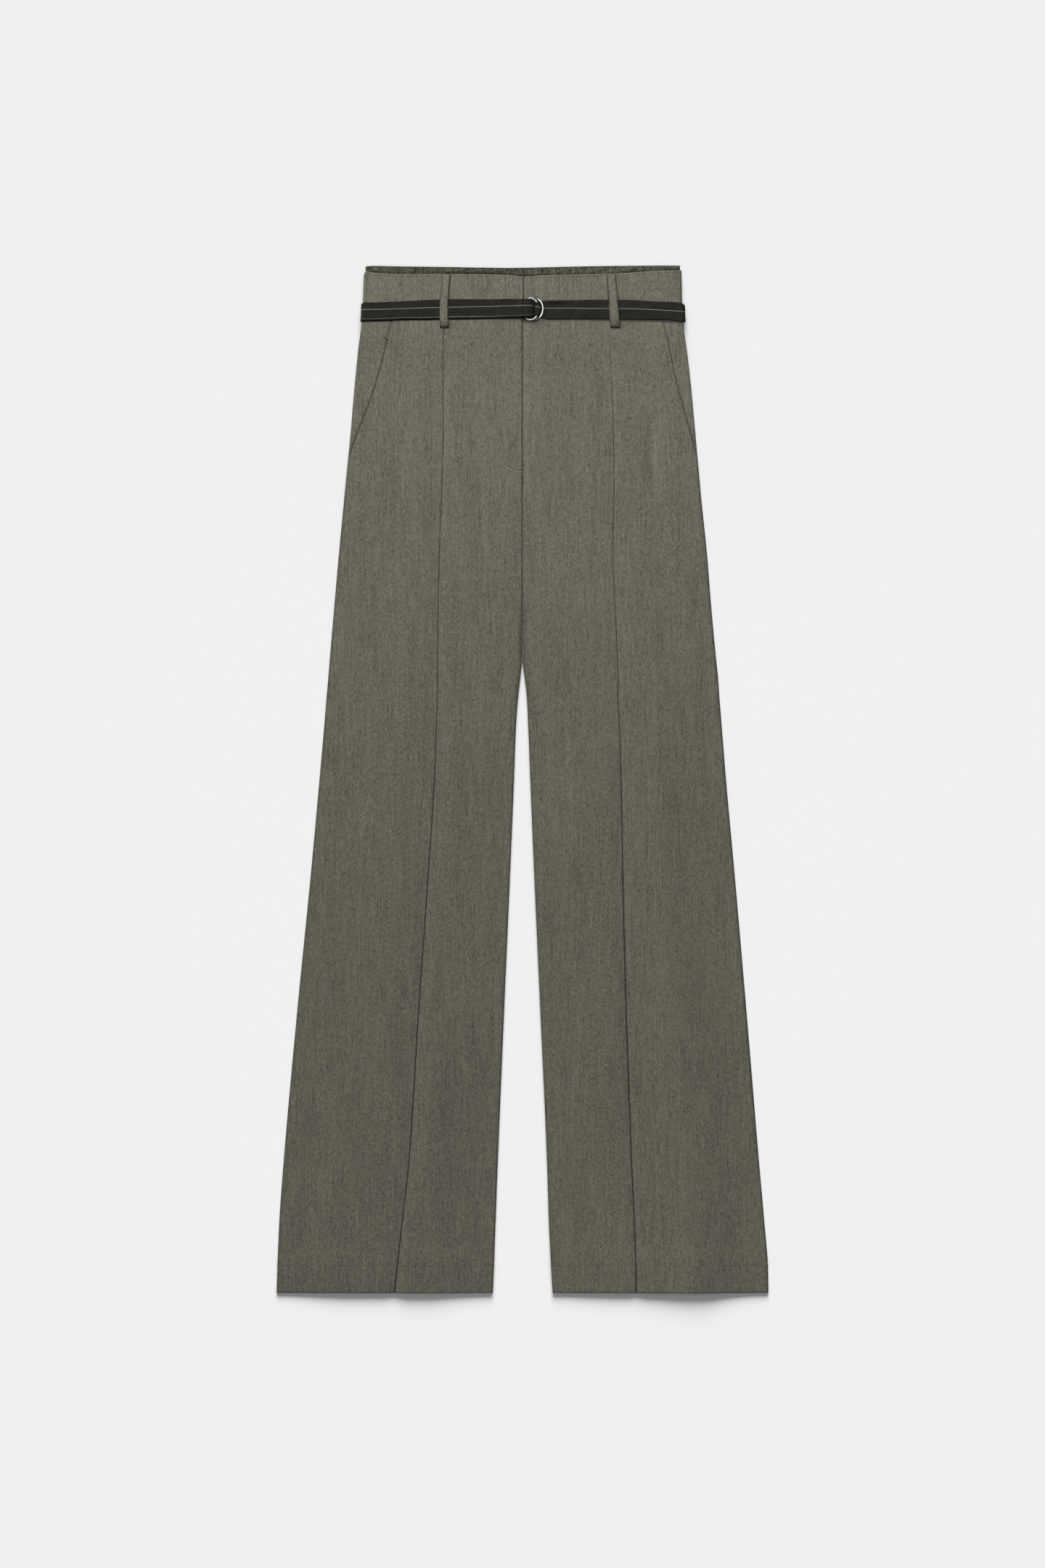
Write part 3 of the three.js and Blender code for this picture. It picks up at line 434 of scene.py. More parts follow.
def spread(left, right, y, step):
    """A grid of places on the cloth: rows at the levels y, each from its left to its right edge."""
    close = np.array([0, 0.12, 0.35, 0.7, 1.1, 1.8, 2.9])
    lefts, rights = left(y)[:, None], right(y)[:, None]
    count = int((rights - lefts).max() / step) + 2
    share = np.linspace(0, 1, count)[None, :]
    inner = lefts + close[-1] + (rights - lefts - 2 * close[-1]) * share
    x = np.concatenate([lefts + close[:-1], inner, rights - close[-2::-1]], axis=1)
    return x, np.repeat(y[:, None], x.shape[1], axis=1)


def rolled(distance, radius):
    """How full the cloth's wall is at a distance from an edge that is rounded over radius."""
    inside = 1 - np.clip(distance / radius, 0, 1)
    return 0.1 + 0.9 * np.sqrt(1 - inside**2)


def sewn_mesh(name, face, under):
    """Two matching grids of points, the face and the underside of a cloth, closed all round."""
    rows, cols = face.shape[:2]
    points = np.concatenate([face.reshape(-1, 3), under.reshape(-1, 3)]) / 1000
    top = np.arange(rows * cols).reshape(rows, cols)
    low = top + rows * cols
    corners = (
        (top[:-1, :-1], top[:-1, 1:], top[1:, 1:], top[1:, :-1]),
        (low[:-1, :-1], low[1:, :-1], low[1:, 1:], low[:-1, 1:]),
        (top[1:, 0], low[1:, 0], low[:-1, 0], top[:-1, 0]),
        (top[:-1, -1], low[:-1, -1], low[1:, -1], top[1:, -1]),
        (top[0, :-1], low[0, :-1], low[0, 1:], top[0, 1:]),
        (top[-1, 1:], low[-1, 1:], low[-1, :-1], top[-1, :-1]),
    )
    faces = np.concatenate([np.stack(four, -1).reshape(-1, 4) for four in corners])
    return made_piece(name, points, faces)


def made_piece(name, points, faces):
    mesh = bpy.data.meshes.new(name)
    mesh.from_pydata(np.asarray(points).tolist(), [], [list(map(int, face)) for face in faces])
    mesh.shade_smooth()
    piece = bpy.data.objects.new(name, mesh)
    bpy.context.scene.collection.objects.link(piece)
    return piece


def keep_on(piece, key, values, copies=2):
    """Values for the points of a piece; a cloth's face and underside have a copy each."""
    kept = piece.data.attributes.new(key, "FLOAT", "POINT")
    kept.data.foreach_set("value", np.tile(values.ravel(), copies).astype(np.float32))


def cloth_shell(name, x, y, upper, lower, edges, shaded=0.0):
    """A cloth between two heights. Each edge gives the distance to it, the radius of its roll,
    where it closes, from 0 at the underside to 1 at the face, and its painted shading there:
    painted shade below 0, painted highlight above 0. Painted shading may lie away from its edges
    too."""
    full = np.ones_like(x)
    join = np.full_like(x, 0.5)
    tone = np.zeros_like(x) + shaded
    for distance, radius, height, shade in edges:
        this = rolled(distance, radius)
        join = np.where(this < full, height, join)
        full = np.minimum(full, this)
        # Painted shading near this edge, kept where it outweighs the shading already there.
        tone_with_painted_shading = shade * hump(distance, 0.75 * radius)
        tone = np.where(np.abs(tone_with_painted_shading) > np.abs(tone), tone_with_painted_shading, tone)
    closing = lower + (upper - lower) * join
    face = np.stack([x, y, closing + (upper - closing) * full], -1)
    under = np.stack([x, y, closing - (closing - lower) * full], -1)
    piece = sewn_mesh(name, face, under)
    keep_on(piece, "painted_shading", tone)
    return piece


def dress(piece, finish, slot, *nodes):
    """The finish goes on, the piece rides with the garment, and it stands for these solids."""
    piece.data.materials.append(finish)
    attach(piece, "root")
    if nodes:
        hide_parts(*nodes)


def laid_sheet(piece, width, length, area, rests_on):
    width = max(width, narrowest_sheet)
    width / 1000
    length / 1000
    min(area / 1e6, width * length / 1e6)


def strap_sheet(piece, width, length, rests_on):
    laid_sheet(piece, width, length, width * length, rests_on)


def stitch_row(name, finish, rows, pitch, length, radius):
    """Short threads, end to end along lines on the cloth, each dipping into it at both ends.
    A row is its line of points and the direction that the cloth faces there."""
    reach = np.array([-0.5, -0.38, 0.0, 0.38, 0.5]) * length
    girth = np.array([0.4, 0.85, 1.0, 0.85, 0.4]) * radius
    dip = np.array([-1.0, -0.3, 0.0, -0.3, -1.0]) * radius
    turn = np.radians(np.arange(0, 360, 60))
    points, faces = [], []
    for line, up in rows:
        line = np.asarray(line, float)
        run = np.concatenate([[0], np.cumsum(np.linalg.norm(np.diff(line, axis=0), axis=1))])
        up = np.broadcast_to(np.asarray(up, float), line.shape)
        for at in np.arange(pitch / 2, run[-1], pitch):
            here, ahead, behind, out = (
                np.array([np.interp(where, run, values[:, k]) for k in range(3)])
                for where, values in ((at, line), (at + 0.3, line), (at - 0.3, line), (at, up))
            )
            along = unit_vector(ahead - behind)
            out = unit_vector(out - along * (out @ along))
            side = np.cross(out, along)
            first = 30 * len(points)
            ring = (
                here
                + reach[:, None, None] * along
                + dip[:, None, None] * out
                + girth[:, None, None]
                * (np.cos(turn)[None, :, None] * side + np.sin(turn)[None, :, None] * out)
            )
            points.append(ring.reshape(-1, 3) / 1000)
            index = first + np.arange(30).reshape(5, 6)
            for i in range(4):
                for j in range(6):
                    k = (j + 1) % 6
                    faces.append((index[i, j], index[i, k], index[i + 1, k], index[i + 1, j]))
            faces.append(tuple(index[0, ::-1]))
            faces.append(tuple(index[4]))
    dress(made_piece(name, np.concatenate(points), faces), finish, "trouser_cloth")


def thread_finish(name, colour):
    """Twisted sewing thread."""
    finish, shader, start = finish_of(name, roughness=0.7, specular=0.2)
    twist = mottle(start, 0.25, 0.4, 1.0, seed=3.0)
    dark, light = ([v * share for v in colour] + [1] for share in (0.6, 1.4))
    feed(twist.blend(dark, light), shader, "Base Color")
    feed(raised(start, twist, 0.08), shader, "Normal")
    return finish


def cut_of(left, right, y):
    """Greatest width, length and area of a piece between two edges, in millimetres."""
    widths = right(y) - left(y)
    area = float(np.sum((widths[1:] + widths[:-1]) / 2 * np.diff(y)))
    return float(widths.max()), float(y[-1] - y[0]), area


def cloth_wall(y):
    return cloth + (hem_wall - cloth) * smooth(y, hem_stitch + 2, hem_stitch - 2)


leg_levels = np.sort(
    np.concatenate(
        [
            steps_between(hem_edge, waist_seam - gap / 2, 5.0),
            hem_stitch + np.array([-3, -1.5, -0.6, 0, 0.6, 1.5, 3]),
            pocket_end + np.array([-1.2, -0.4, 0.4, 1.2]),
            fly_end + np.array([-3, -1.5, 0, 1.5, 3, 4.5, 6]),
            gap_apex + np.array([-12, -8, -4, -2, 0, 2]),
        ]
    )
)


def hem_dent(y):
    """The line where the turned-up hem is caught from inside, and the crisp fold at the foot."""
    return -0.16 * hump(y - hem_stitch, 0.9) + 0.12 * hump(y - hem_stitch - 4, 2.5)


def fly_dip(x, y):
    """The right front steps down under the left one at the fly."""
    return under_layer * smooth(x, 4.5, 0.8) * smooth(y, 296, fly_end - 4)


def side_roll(y):
    """The side seams roll more deeply below the pocket."""
    return 1.0 + 1.4 * smooth(y, pocket_end, pocket_end - 20)


def inside_leg_roll(y):
    """The inside legs press together below the crotch and roll deeply away from each other."""
    return 1.0 + 2.9 * smooth(y, 215, 155) * (1 - 0.6 * smooth(y, 110, 20))


def long_seam_shade(darkest, pressed=0.0):
    """The painted shade along the long seams is lighter over the hips, where the cloth is pulled
    flat. Along a seam pressed flat under the belt it hardly shows there."""
    return lambda y: (
        darkest * (0.4 + 0.6 * smooth(y, *knee_fade)) * (1 - pressed * smooth(y, *belt_press))
    )


def seam_r_gap(y):
    return gap / 2 * (1 - 0.8 * smooth(y, *belt_press))


def long_seam_close(y):
    """The seams close shallow over the hips and a little deeper below the knee."""
    return 0.75 - 0.35 * smooth(y, *knee_fade)


def same(value):
    return lambda y: value + 0 * y


# Each piece's shades are painted shade along its edges: the long seams, the fly, the inside legs and
# the pocket mouths, fading where a mouth is pressed flush above its tack.
front_pieces = [
    {"name": "front_side_left", "left": lambda y: np.where(y > pocket_end, mouth_l(y), side_l(y)),
     "right": lambda y: seam_l(y) - gap / 2, "joins": (same(0.0), long_seam_close),
     "rolls": (side_roll, same(edge_roll)),
     "shades": (lambda y: -0.4 - 0.4 * smooth(y, 340, 360) + 0.65 * smooth(y, 469, 476),
                long_seam_shade(-0.5))},
    {"name": "front_centre_left", "left": lambda y: seam_l(y) + gap / 2, "right": inner_l,
     "joins": (long_seam_close, same(0.1)), "rolls": (same(edge_roll), inside_leg_roll),
     "shades": (long_seam_shade(-0.4), same(-0.4))},
    {"name": "front_centre_right",
     "left": lambda y: inner_r(y) - fly_underlap * smooth(y, fly_end - 1, fly_end + 6),
     "right": lambda y: seam_r(y) - seam_r_gap(y), "joins": (same(0.1), long_seam_close),
     "rolls": (inside_leg_roll, same(edge_roll)),
     "shades": (same(-0.4), long_seam_shade(-0.5, 0.9))},
    {"name": "front_side_right", "left": lambda y: seam_r(y) + seam_r_gap(y),
     "right": lambda y: np.where(y > pocket_end, mouth_r(y), side_r(y)),
     "joins": (long_seam_close, lambda y: 0.75 * smooth(y, 469, 477)),
     "rolls": (same(edge_roll), side_roll),
     "shades": (long_seam_shade(-0.4, 0.9),
                lambda y: -0.45 + 0.35 * smooth(y, 340, 430) + 0.1 * smooth(y, 469, 477))},
]
for cut in front_pieces:
    x, y = spread(cut["left"], cut["right"], leg_levels, 2.6)
    base = front_low(x, y)
    if cut["name"] == "front_centre_right":
        base = base - fly_dip(x, y)
    upper = base + cloth + hem_dent(y)
    lower = base + cloth - cloth_wall(y)
    distances = (x - cut["left"](y), cut["right"](y) - x)
    sides = zip(distances, cut["rolls"], cut["joins"], cut["shades"])
    edges = [
        *((distance, roll(y), join(y), shade(y)) for distance, roll, join, shade in sides),
        # Painted shade along the hem fold and the waist seam.
        (y - hem_edge, 1.2, 0.4, -0.4),
        (waist_seam - gap / 2 - y, 0.6, 0.3, -0.5),
    ]
    piece = cloth_shell(cut["name"] + "_cloth", x, y, upper, lower, edges)
    dress(piece, trouser_cloth, "trouser_cloth", cut["name"])
    laid_sheet(piece, *cut_of(cut["left"], cut["right"], leg_levels), ["back_left", "back_right"])

# Its very dark colour stands for the thread together with the painted shade of its needle holes.
thread_and_hole_shade = thread_finish("thread_and_hole_shade", (0.035, 0.034, 0.028))
light_thread = thread_finish("light_thread", (0.44, 0.43, 0.38))


def on_front(points, lift=0.05):
    """A line on the face of the fronts through points given as x and y."""
    x, y = np.asarray(points, float).T
    return np.stack([x, y, front_low(x, y) + cloth + lift], -1)


def curve_through(points, steps):
    """A smooth centripetal curve through points of two coordinates."""
    points = np.asarray(points, float)
    ends = np.concatenate([[2 * points[0] - points[1]], points, [2 * points[-1] - points[-2]]])
    made = []
    for a, b, c, d in zip(ends, ends[1:], ends[2:], ends[3:]):
        knots = np.cumsum([0, *(np.linalg.norm(q - p) ** 0.5 for p, q in ((a, b), (b, c), (c, d)))])
        t = np.linspace(knots[1], knots[2], steps, endpoint=False)[:, None]
        ab = (a * (knots[1] - t) + b * t) / knots[1]
        bc = (b * (knots[2] - t) + c * (t - knots[1])) / (knots[2] - knots[1])
        cd = (c * (knots[3] - t) + d * (t - knots[2])) / (knots[3] - knots[2])
        first = (ab * (knots[2] - t) + bc * t) / knots[2]
        last = (bc * (knots[3] - t) + cd * (t - knots[1])) / (knots[3] - knots[1])
        made.append((first * (knots[2] - t) + last * (t - knots[1])) / (knots[2] - knots[1]))
    return np.concatenate([*made, points[-1:]])


fly_curve = curve_through([(-20.4, 337.0), (-15.6, 333.5), (-9.3, 330.7), (-0.8, 329.3)], 6)
# A row of dark thread just above the fly's curve stands in for the shade there: painted shadow.
fly_shadow = fly_curve + (0.1, 0.95)
face_up, face_down = (0, 0, 1), (0, 0, -1)
stitch_row("fly_stitches", light_thread, [(on_front(fly_curve, 0.15), face_up)], 2.2, 1.3, 0.45)
stitch_row("fly_shadow_stitches", thread_and_hole_shade, [(on_front(fly_shadow, 0.1), face_up)], 1.6, 1.4, 0.36)
seam_levels = np.linspace(292, 402, 60)
seam_line = np.stack([seam_r(seam_levels) - 1.3, seam_levels], -1)
stitch_row("seam_stitches", light_thread, [(on_front(seam_line), face_up)], 2.4, 1.0, 0.17)

# ---- backs -------------------------------------------------------------------------------------
# Each back is one piece from the waist seam to the hem, flat on the table but for the waist, where
# it rises over the belt. The two meet at the centre-back seam, part below the crotch, and each is
# shaped at the waist by one dart.
darts = rows_of("x lean top foot width rise", [
    (-92, -4, 500, 385, 2.2, 0.5),
    (92, 4, 500, 385, 2.2, 0.5),
])
for name, left, right, joins in (
    ("back_left", side_l, inner_l, (1.0, 0.9)),
    ("back_right", inner_r, side_r, (0.9, 1.0)),
):
    x, y = spread(left, right, leg_levels, 3.4)
    lower = back_low(y) + crease_rise(x, y, darts)
    upper = back_low(y) + cloth_wall(y)
    # Painted shade along every edge of the backs.
    edges = [
        (x - left(y), edge_roll, joins[0], -0.5),
        (right(y) - x, edge_roll, joins[1], -0.5),
        (y - hem_edge, 1.2, 0.6, -0.4),
        (waist_seam - gap / 2 - y, 0.6, 0.5, -0.4),
    ]
    piece = cloth_shell(name + "_cloth", x, y, upper, lower, edges)
    dress(piece, trouser_cloth, "trouser_cloth", name)
    laid_sheet(piece, *cut_of(left, right, leg_levels), ["table"])

# ---- pocket bearers ----------------------------------------------------------------------------
# The hip pieces that show outside the slant mouths and run on inside behind them. The ends of
# each mouth are held by a small bar tack.
bearer_end, bearer_inset = 330, 24
bearer_levels = steps_between(bearer_end, waist_seam - gap / 2, 5.0)
for name, left, right in (
    ("pocket_bearer_left", side_l, lambda y: mouth_l(np.maximum(y, pocket_end)) + bearer_inset),
    ("pocket_bearer_right", lambda y: mouth_r(np.maximum(y, pocket_end)) - bearer_inset, side_r),
):
    x, y = spread(left, right, bearer_levels, 1.5)
    lower = front_base(x, y)[0] - under_layer
    from_mouth, shade = (mouth_l(y) - x, -0.5) if right is not side_r else (x - mouth_r(y), -0.1)
    above_tack = smooth(y, 468, 478) if right is not side_r else 0.9 * smooth(y, 375, 440)
    lower = lower + 0.8 * under_layer * smooth(from_mouth, 0.3, 2.5) * above_tack
    # Painted shade along the edges of the bearer.
    edges = [
        (x - left(y), edge_roll, 0.1, -0.4),
        (right(y) - x, edge_roll, 0.1, -0.4),
        (y - bearer_end, 0.6, 0.5, 0.0),
        (waist_seam - gap / 2 - y, 0.6, 0.3, -0.4),
    ]
    # Painted shadow of the front's mouth edge, on the bearer next to it, below the tack.
    shaded = shade * hump(from_mouth, 1.3) * (1 - above_tack)
    piece = cloth_shell(name + "_cloth", x, y, lower + cloth, lower, edges, shaded)
    dress(piece, trouser_cloth, "trouser_cloth", name)
    laid_sheet(piece, *cut_of(left, right, bearer_levels), ["back_left", "back_right"])
tacks = (((-147.6, 473.2), (-144.2, 469.8)), ((153.9, 473.2), (155.6, 471.8)))
tack_rows = [(on_front(tack, 0.15), face_up) for tack in tacks]
stitch_row("pocket_tacks", thread_and_hole_shade, tack_rows, 0.55, 0.9, 0.36)

# ---- outer waistband ---------------------------------------------------------------------------
# A plain band of the trouser cloth: a back and two fronts seamed at the sides, open at the
# centre front. Its top edge is turned and stitched, and the belt hides its seam to the trousers.
band, back_band_top, band_turn = 1.3, 544, 2.0
band_side_l, band_side_r, band_top_l, band_top_r = -171.3, 171.2, -169.9, 170.3
fly_left_edge, fly_right_edge = 1.05, 1.35
inner_back_z, inner_front_z = 4.2, 5.5
band_tops = rows_of("x outer inner", [
    (-171, 544.1, 549.2),
    (-156, 541.9, 549.6),
    (-132, 540.5, 549.1),
    (-96, 540.7, 548.7),
    (-40, 540.6, 547.8),
    (-14, 539.5, 547.5),
    (1, 538.2, 547.7),
    (20, 539.4, 548.1),
    (60, 540.4, 549.0),
    (96, 541.1, 549.6),
    (132, 543.4, 549.9),
    (150, 544.2, 550.0),
    (171, 545.0, 549.9),
])
outer_top, inner_top = (line_of(band_tops, "x", name) for name in ("outer", "inner"))
band_dents = rows_of("x lean top foot width rise", [
    (-140, 10, 548, 505, 14, 0.35),
    (-60, -8, 546, 505, 12, -0.3),
    (-22, 4, 546, 505, 9, 0.3),
    (30, -6, 546, 505, 12, 0.3),
    (66, 6, 546, 505, 11, -0.3),
    (132, -8, 548, 505, 13, 0.3),
])


def band_grid(left, right, foot, top, step=2.6):
    """Columns across and rows up a band; left and right are its ends at the foot and at the top."""
    width = max(right) - min(left)
    share = steps_between(0, width, step)[None, :] / width
    height = float(np.max(top(np.array([min(left), 0.0, max(right)])))) - foot
    rise = steps_between(0, height, 2.6, close=(0, 0.12, 0.35, 0.7, 1.1, 1.8))[:, None] / height
    start = left[0] + (left[1] - left[0]) * rise
    end = right[0] + (right[1] - right[0]) * rise
    x = start + (end - start) * share
    y = foot + (top(x) - foot) * rise
    return x, y, x - start, end - x


def band_sheet(piece, width, y, rests):
    heights = y[-1] - y[0]
    laid_sheet(piece, width, float(heights.max()), width * float(heights.mean()), rests)


def turned_low(inside, low):
    """The front of a band turns down to the side seam over its last few millimetres."""
    return inner_back_z + (low - inner_back_z) * smooth(inside, 0, band_turn)


band_foot = waist_seam + gap / 2
left_end, right_end = (band_side_l, band_top_l), (band_side_r, band_top_r)
band_cuts = [
    {"name": "outer_band_back", "left": left_end, "right": right_end,
     "top": lambda x: np.full_like(x, back_band_top), "rests": ["belt_left", "belt_right"]},
    {"name": "outer_band_front_left", "left": left_end, "right": (fly_left_edge, fly_left_edge),
     "top": outer_top, "rests": ["inner_band_front_left"]},
    {"name": "outer_band_front_right", "left": (fly_right_edge, fly_right_edge), "right": right_end,
     "top": outer_top, "rests": ["inner_band_front_right"]},
]


def band_face(x, y):
    """Height of the face of the outer band where it lies on the front."""
    low = np.full_like(x, front_band_z)
    up = np.clip((y - band_foot) / (back_band_top - band_foot), 0, 1)
    low = turned_low(np.minimum(x - band_side_l - 1.4 * up, band_side_r - 0.9 * up - x), low)
    return low + band + crease_rise(x, y, band_dents) * smooth(171 - np.abs(x), 4, 16)


for cut in band_cuts:
    x, y, from_left, from_right = band_grid(cut["left"], cut["right"], band_foot, cut["top"])
    on_left = cut["name"].endswith("left")
    if cut["name"] == "outer_band_back":
        x = x + 1.3 * smooth(back_band_top - y, 5, 0) * smooth(from_left, 12, 0)
        lower = np.full_like(x, back_band_z)
        upper = lower + band
        joins = (1.0, 1.0)
    else:
        upper = band_face(x, y)
        from_side = from_left if on_left else from_right
        lower = turned_low(from_side, np.full_like(x, front_band_z))
        joins = (0.0, 0.6) if on_left else (0.6, 0.0)
        if on_left:
            corner = smooth(outer_top(x) - y, 5, 0) * smooth(from_left, 12, 0)
            x, from_left = x + 1.2 * corner, from_left + 0.3 * corner
    # Painted shade along the ends and the foot of the band, and a painted highlight along its top
    # rim.
    edges = [
        (from_left, 1.0, joins[0], -0.35),
        (from_right, 1.0, joins[1], -0.35),
        (y - band_foot, 0.8, 0.3, -0.4),
        (cut["top"](x) - y, 1.0, 0.35, 0.3),
    ]
    piece = cloth_shell(cut["name"] + "_cloth", x, y, upper, lower, edges)
    dress(piece, trouser_cloth, "trouser_cloth", cut["name"])
    band_sheet(piece, max(cut["right"]) - min(cut["left"]), y, cut["rests"])

top_x = np.linspace(-168.5, 168.5, 200)
row_y = outer_top(top_x) - 2.0
front_row = np.stack([top_x, row_y, band_face(top_x, row_y) + 0.02], -1)
back_row = np.stack([top_x, 0 * top_x + back_band_top - 2.0, 0 * top_x + back_band_z - 0.02], -1)
band_rows = [(front_row, face_up), (back_row, face_down)]
stitch_row("band_stitches", thread_and_hole_shade, band_rows, 1.65, 0.95, 0.34)

# ---- inner waistband ---------------------------------------------------------------------------
# The second band, in a darker slubby cloth, stands a few millimetres up behind the outer one and
# is cut the same: a back and two fronts that are open at the centre front.
inner_band, inner_foot, inner_side_l, inner_side_r = 1.0, 498, -167.4, 168.6
inner_cloth = yarn_cloth(
    "inner_band_cloth", (0.066, 0.0645, 0.0463),
    contrast=1.8, slubs=1.2, patches=6.0, grain=(2.6, 1.2),
)
for name, left, right, low, rests in (
    ("inner_band_back", inner_side_l, inner_side_r, inner_back_z, ["outer_band_back"]),
    ("inner_band_front_left", inner_side_l, fly_left_edge, inner_front_z, ["inner_band_back"]),
    ("inner_band_front_right", fly_right_edge, inner_side_r, inner_front_z, ["inner_band_back"]),
):
    x, y, from_left, from_right = band_grid((left, left), (right, right), inner_foot, inner_top)
    if left < 0:
        # The left corner leans out where it shows, and is tucked in behind the outer band's edge.
        shown = smooth(inner_top(x) - y, 0, 2.5) * smooth(y - outer_top(x), 0, 2.5)
        tucked = smooth(np.abs(y - outer_top(x) + 1.5), 4.5, 1.0)
        x = x + (0.7 * tucked - 1.2 * shown) * smooth(from_left, 12, 0)
    lower = np.full_like(x, low)
    # Painted shade along the ends and the top edge.
    edges = [
        (from_left, 0.6, 0.5, -0.3),
        (from_right, 0.6, 0.5, -0.3),
        (y - inner_foot, 0.6, 0.5, 0.0),
        (inner_top(x) - y, 0.8, 0.4, -0.45),
    ]
    # Painted shadow of the outer band's top edge: a dark line just above it. The cloth is also a
    # little lighter towards the right.
    shaded = 0.12 * smooth(x, -80, 120) - 0.85 * hump(y - outer_top(x) - 0.6, 1.1)
    piece = cloth_shell(name + "_cloth", x, y, lower + inner_band, lower, edges, shaded)
    dress(piece, inner_cloth, "inner_band_cloth", name)
    band_sheet(piece, right - left, y, rests)

# ---- D-rings -----------------------------------------------------------------------------------
# Two bright nickel wire rings, each a straight bar and a round bow brazed shut. They sit in the
# fold of the belt's left end, and lie at a slant because the tail passes between them. Where the
# wire is tucked under the straps, its colour is darkened by painted shade.
belt_front_z, tail_front_z, belt_back_z, tail_back_z = 8.9, 10.2, 1.8, 0.5
ring_middle, ring_half, ring_shoulder, ring_corner, ring_wire = 503.0, 11.6, 4.6, 2.2, 0.83
ring_lower, ring_upper = rows_of("bar bar_z bow bow_z", [
    (8.2, belt_front_z + 1.55, 21.8, belt_front_z + 3.3),
    (3.5, belt_front_z + 5.4, 17.1, belt_front_z + 2.2),
])


def ring_line(ring, turns=60, corner_steps=8):
    """Points round the middle of the wire: the bow, then the two corners and the bar."""
    reach = ring["bow"] - ring["bar"] - ring_shoulder
    bow = np.radians(np.linspace(-90, 90, turns))
    corner = np.radians(np.linspace(90, 180, corner_steps))
    straight = ring_half - ring_corner
    across = np.concatenate(
        [
            ring_shoulder + reach * np.cos(bow),
            ring_shoulder * (1 + np.cos(corner[1:])),
            np.zeros(8),
            ring_shoulder * (1 + np.cos(corner[::-1][:-1])),
        ]
    )
    up = np.concatenate(
        [
            ring_half * np.sin(bow),
            straight + ring_corner * np.sin(corner[1:]),
            np.linspace(straight, -straight, 10)[1:-1],
            -straight - ring_corner * np.sin(corner[::-1][:-1]),
        ]
    )
    slope = (ring["bow_z"] - ring["bar_z"]) / (ring["bow"] - ring["bar"])
    line = np.stack([ring["bar"] + across, ring_middle + up, ring["bar_z"] + slope * across], -1)
    return line, unit_vector((-slope, 0, 1))


wire_sides = 14


def closed_wire(name, line, up, radius, sides):
    before, after = np.roll(line, 1, axis=0), np.roll(line, -1, axis=0)
    along = (after - before) / np.linalg.norm(after - before, axis=1)[:, None]
    out = np.cross(along, up)
    out /= np.linalg.norm(out, axis=1)[:, None]
    turn = np.linspace(0, 2 * np.pi, sides, endpoint=False)
    points = (
        line[:, None, :]
        + radius * np.cos(turn)[None, :, None] * out[:, None, :]
        + radius * np.sin(turn)[None, :, None] * np.asarray(up)[None, None, :]
    )
    index = np.arange(len(line) * sides).reshape(len(line), sides)
    here, on = index, np.roll(index, -1, axis=0)
    faces = np.stack([here, on, np.roll(on, -1, axis=1), np.roll(here, -1, axis=1)], -1)
    return made_piece(name, points.reshape(-1, 3) / 1000, faces.reshape(-1, 4))


ring_metal, ring_shader, ring_start = finish_of("ring_metal", roughness=0.3, metallic=1.0)
scuffs = mottle(ring_start, 0.5, 0.5, 3.0)
feed(scuffs.step(0.3, 0.8) * 0.14 + 0.24, ring_shader, "Roughness")
nickel = scuffs.blend((0.88, 0.88, 0.86, 1), (0.97, 0.97, 0.95, 1))
# The nickel is darkened by painted shade where the wire lies under the straps.
feed(nickel.tinted(kept_place(ring_start, "shade_under_straps")), ring_shader, "Base Color")
feed(raised(ring_start, scuffs, 0.01), ring_shader, "Normal")
for name, ring in (("ring_lower", ring_lower), ("ring_upper", ring_upper)):
    line, up = ring_line(ring)
    piece = closed_wire(name + "_wire", line, up, ring_wire, wire_sides)
    # Painted shade: the wire's colour is darkened where it is tucked under the straps.
    above = smooth(line[:, 1], ring_middle - 3, ring_middle + 3)
    if name == "ring_lower":
        unshaded = above * smooth(line[:, 0], 14.5, 18) + (1 - above) * smooth(line[:, 0], 17.5, 21)
    else:
        unshaded = smooth(line[:, 0], 3.5 + above, 6 + above)
    keep_on(piece, "shade_under_straps", np.repeat(0.12 + 0.88 * unshaded, wire_sides), copies=1)
    dress(piece, ring_metal, "ring_metal", name)

# ---- belt --------------------------------------------------------------------------------------
# One long strap of dark ribbed cloth, folded with a row of stitches along one edge and a thin
# light line woven in above its middle. Its left end holds the rings; its right end passes through
# both, comes back between them, and lies over itself round the right side to the back.
belt_left_line = rows_of("x mid width line row_light", [
    (-173, 499.2, 18.4, 2.6, 0.55),
    (-171.6, 499.8, 19.6, 2.6, 0.55),
    (-169, 500.1, 20.3, 2.6, 0.55),
    (-158, 500.2, 20.2, 2.5, 0.55),
    (-130, 501.2, 20.2, 2.3, 0.55),
    (-100, 502.2, 21.5, 2.4, 0.6),
    (-70, 502.9, 21.6, 2.3, 1.0),
    (-40, 503.0, 21.0, 2.8, 0.75),
    (-8, 503.5, 20.4, 3.0, 0.4),
    (8, 503.2, 19.2, 3.2, 0.25),
    (12, 503.1, 16.6, 3.2, 0.2),
])
belt_right_line = rows_of("x mid width", [
    (15.6, 503.0, 14.2),
    (24, 502.9, 16.6),
    (92, 501.3, 20.2),
    (140, 500.3, 20.2),
    (169, 499.8, 19.8),
    (173, 498.9, 18.0),
])
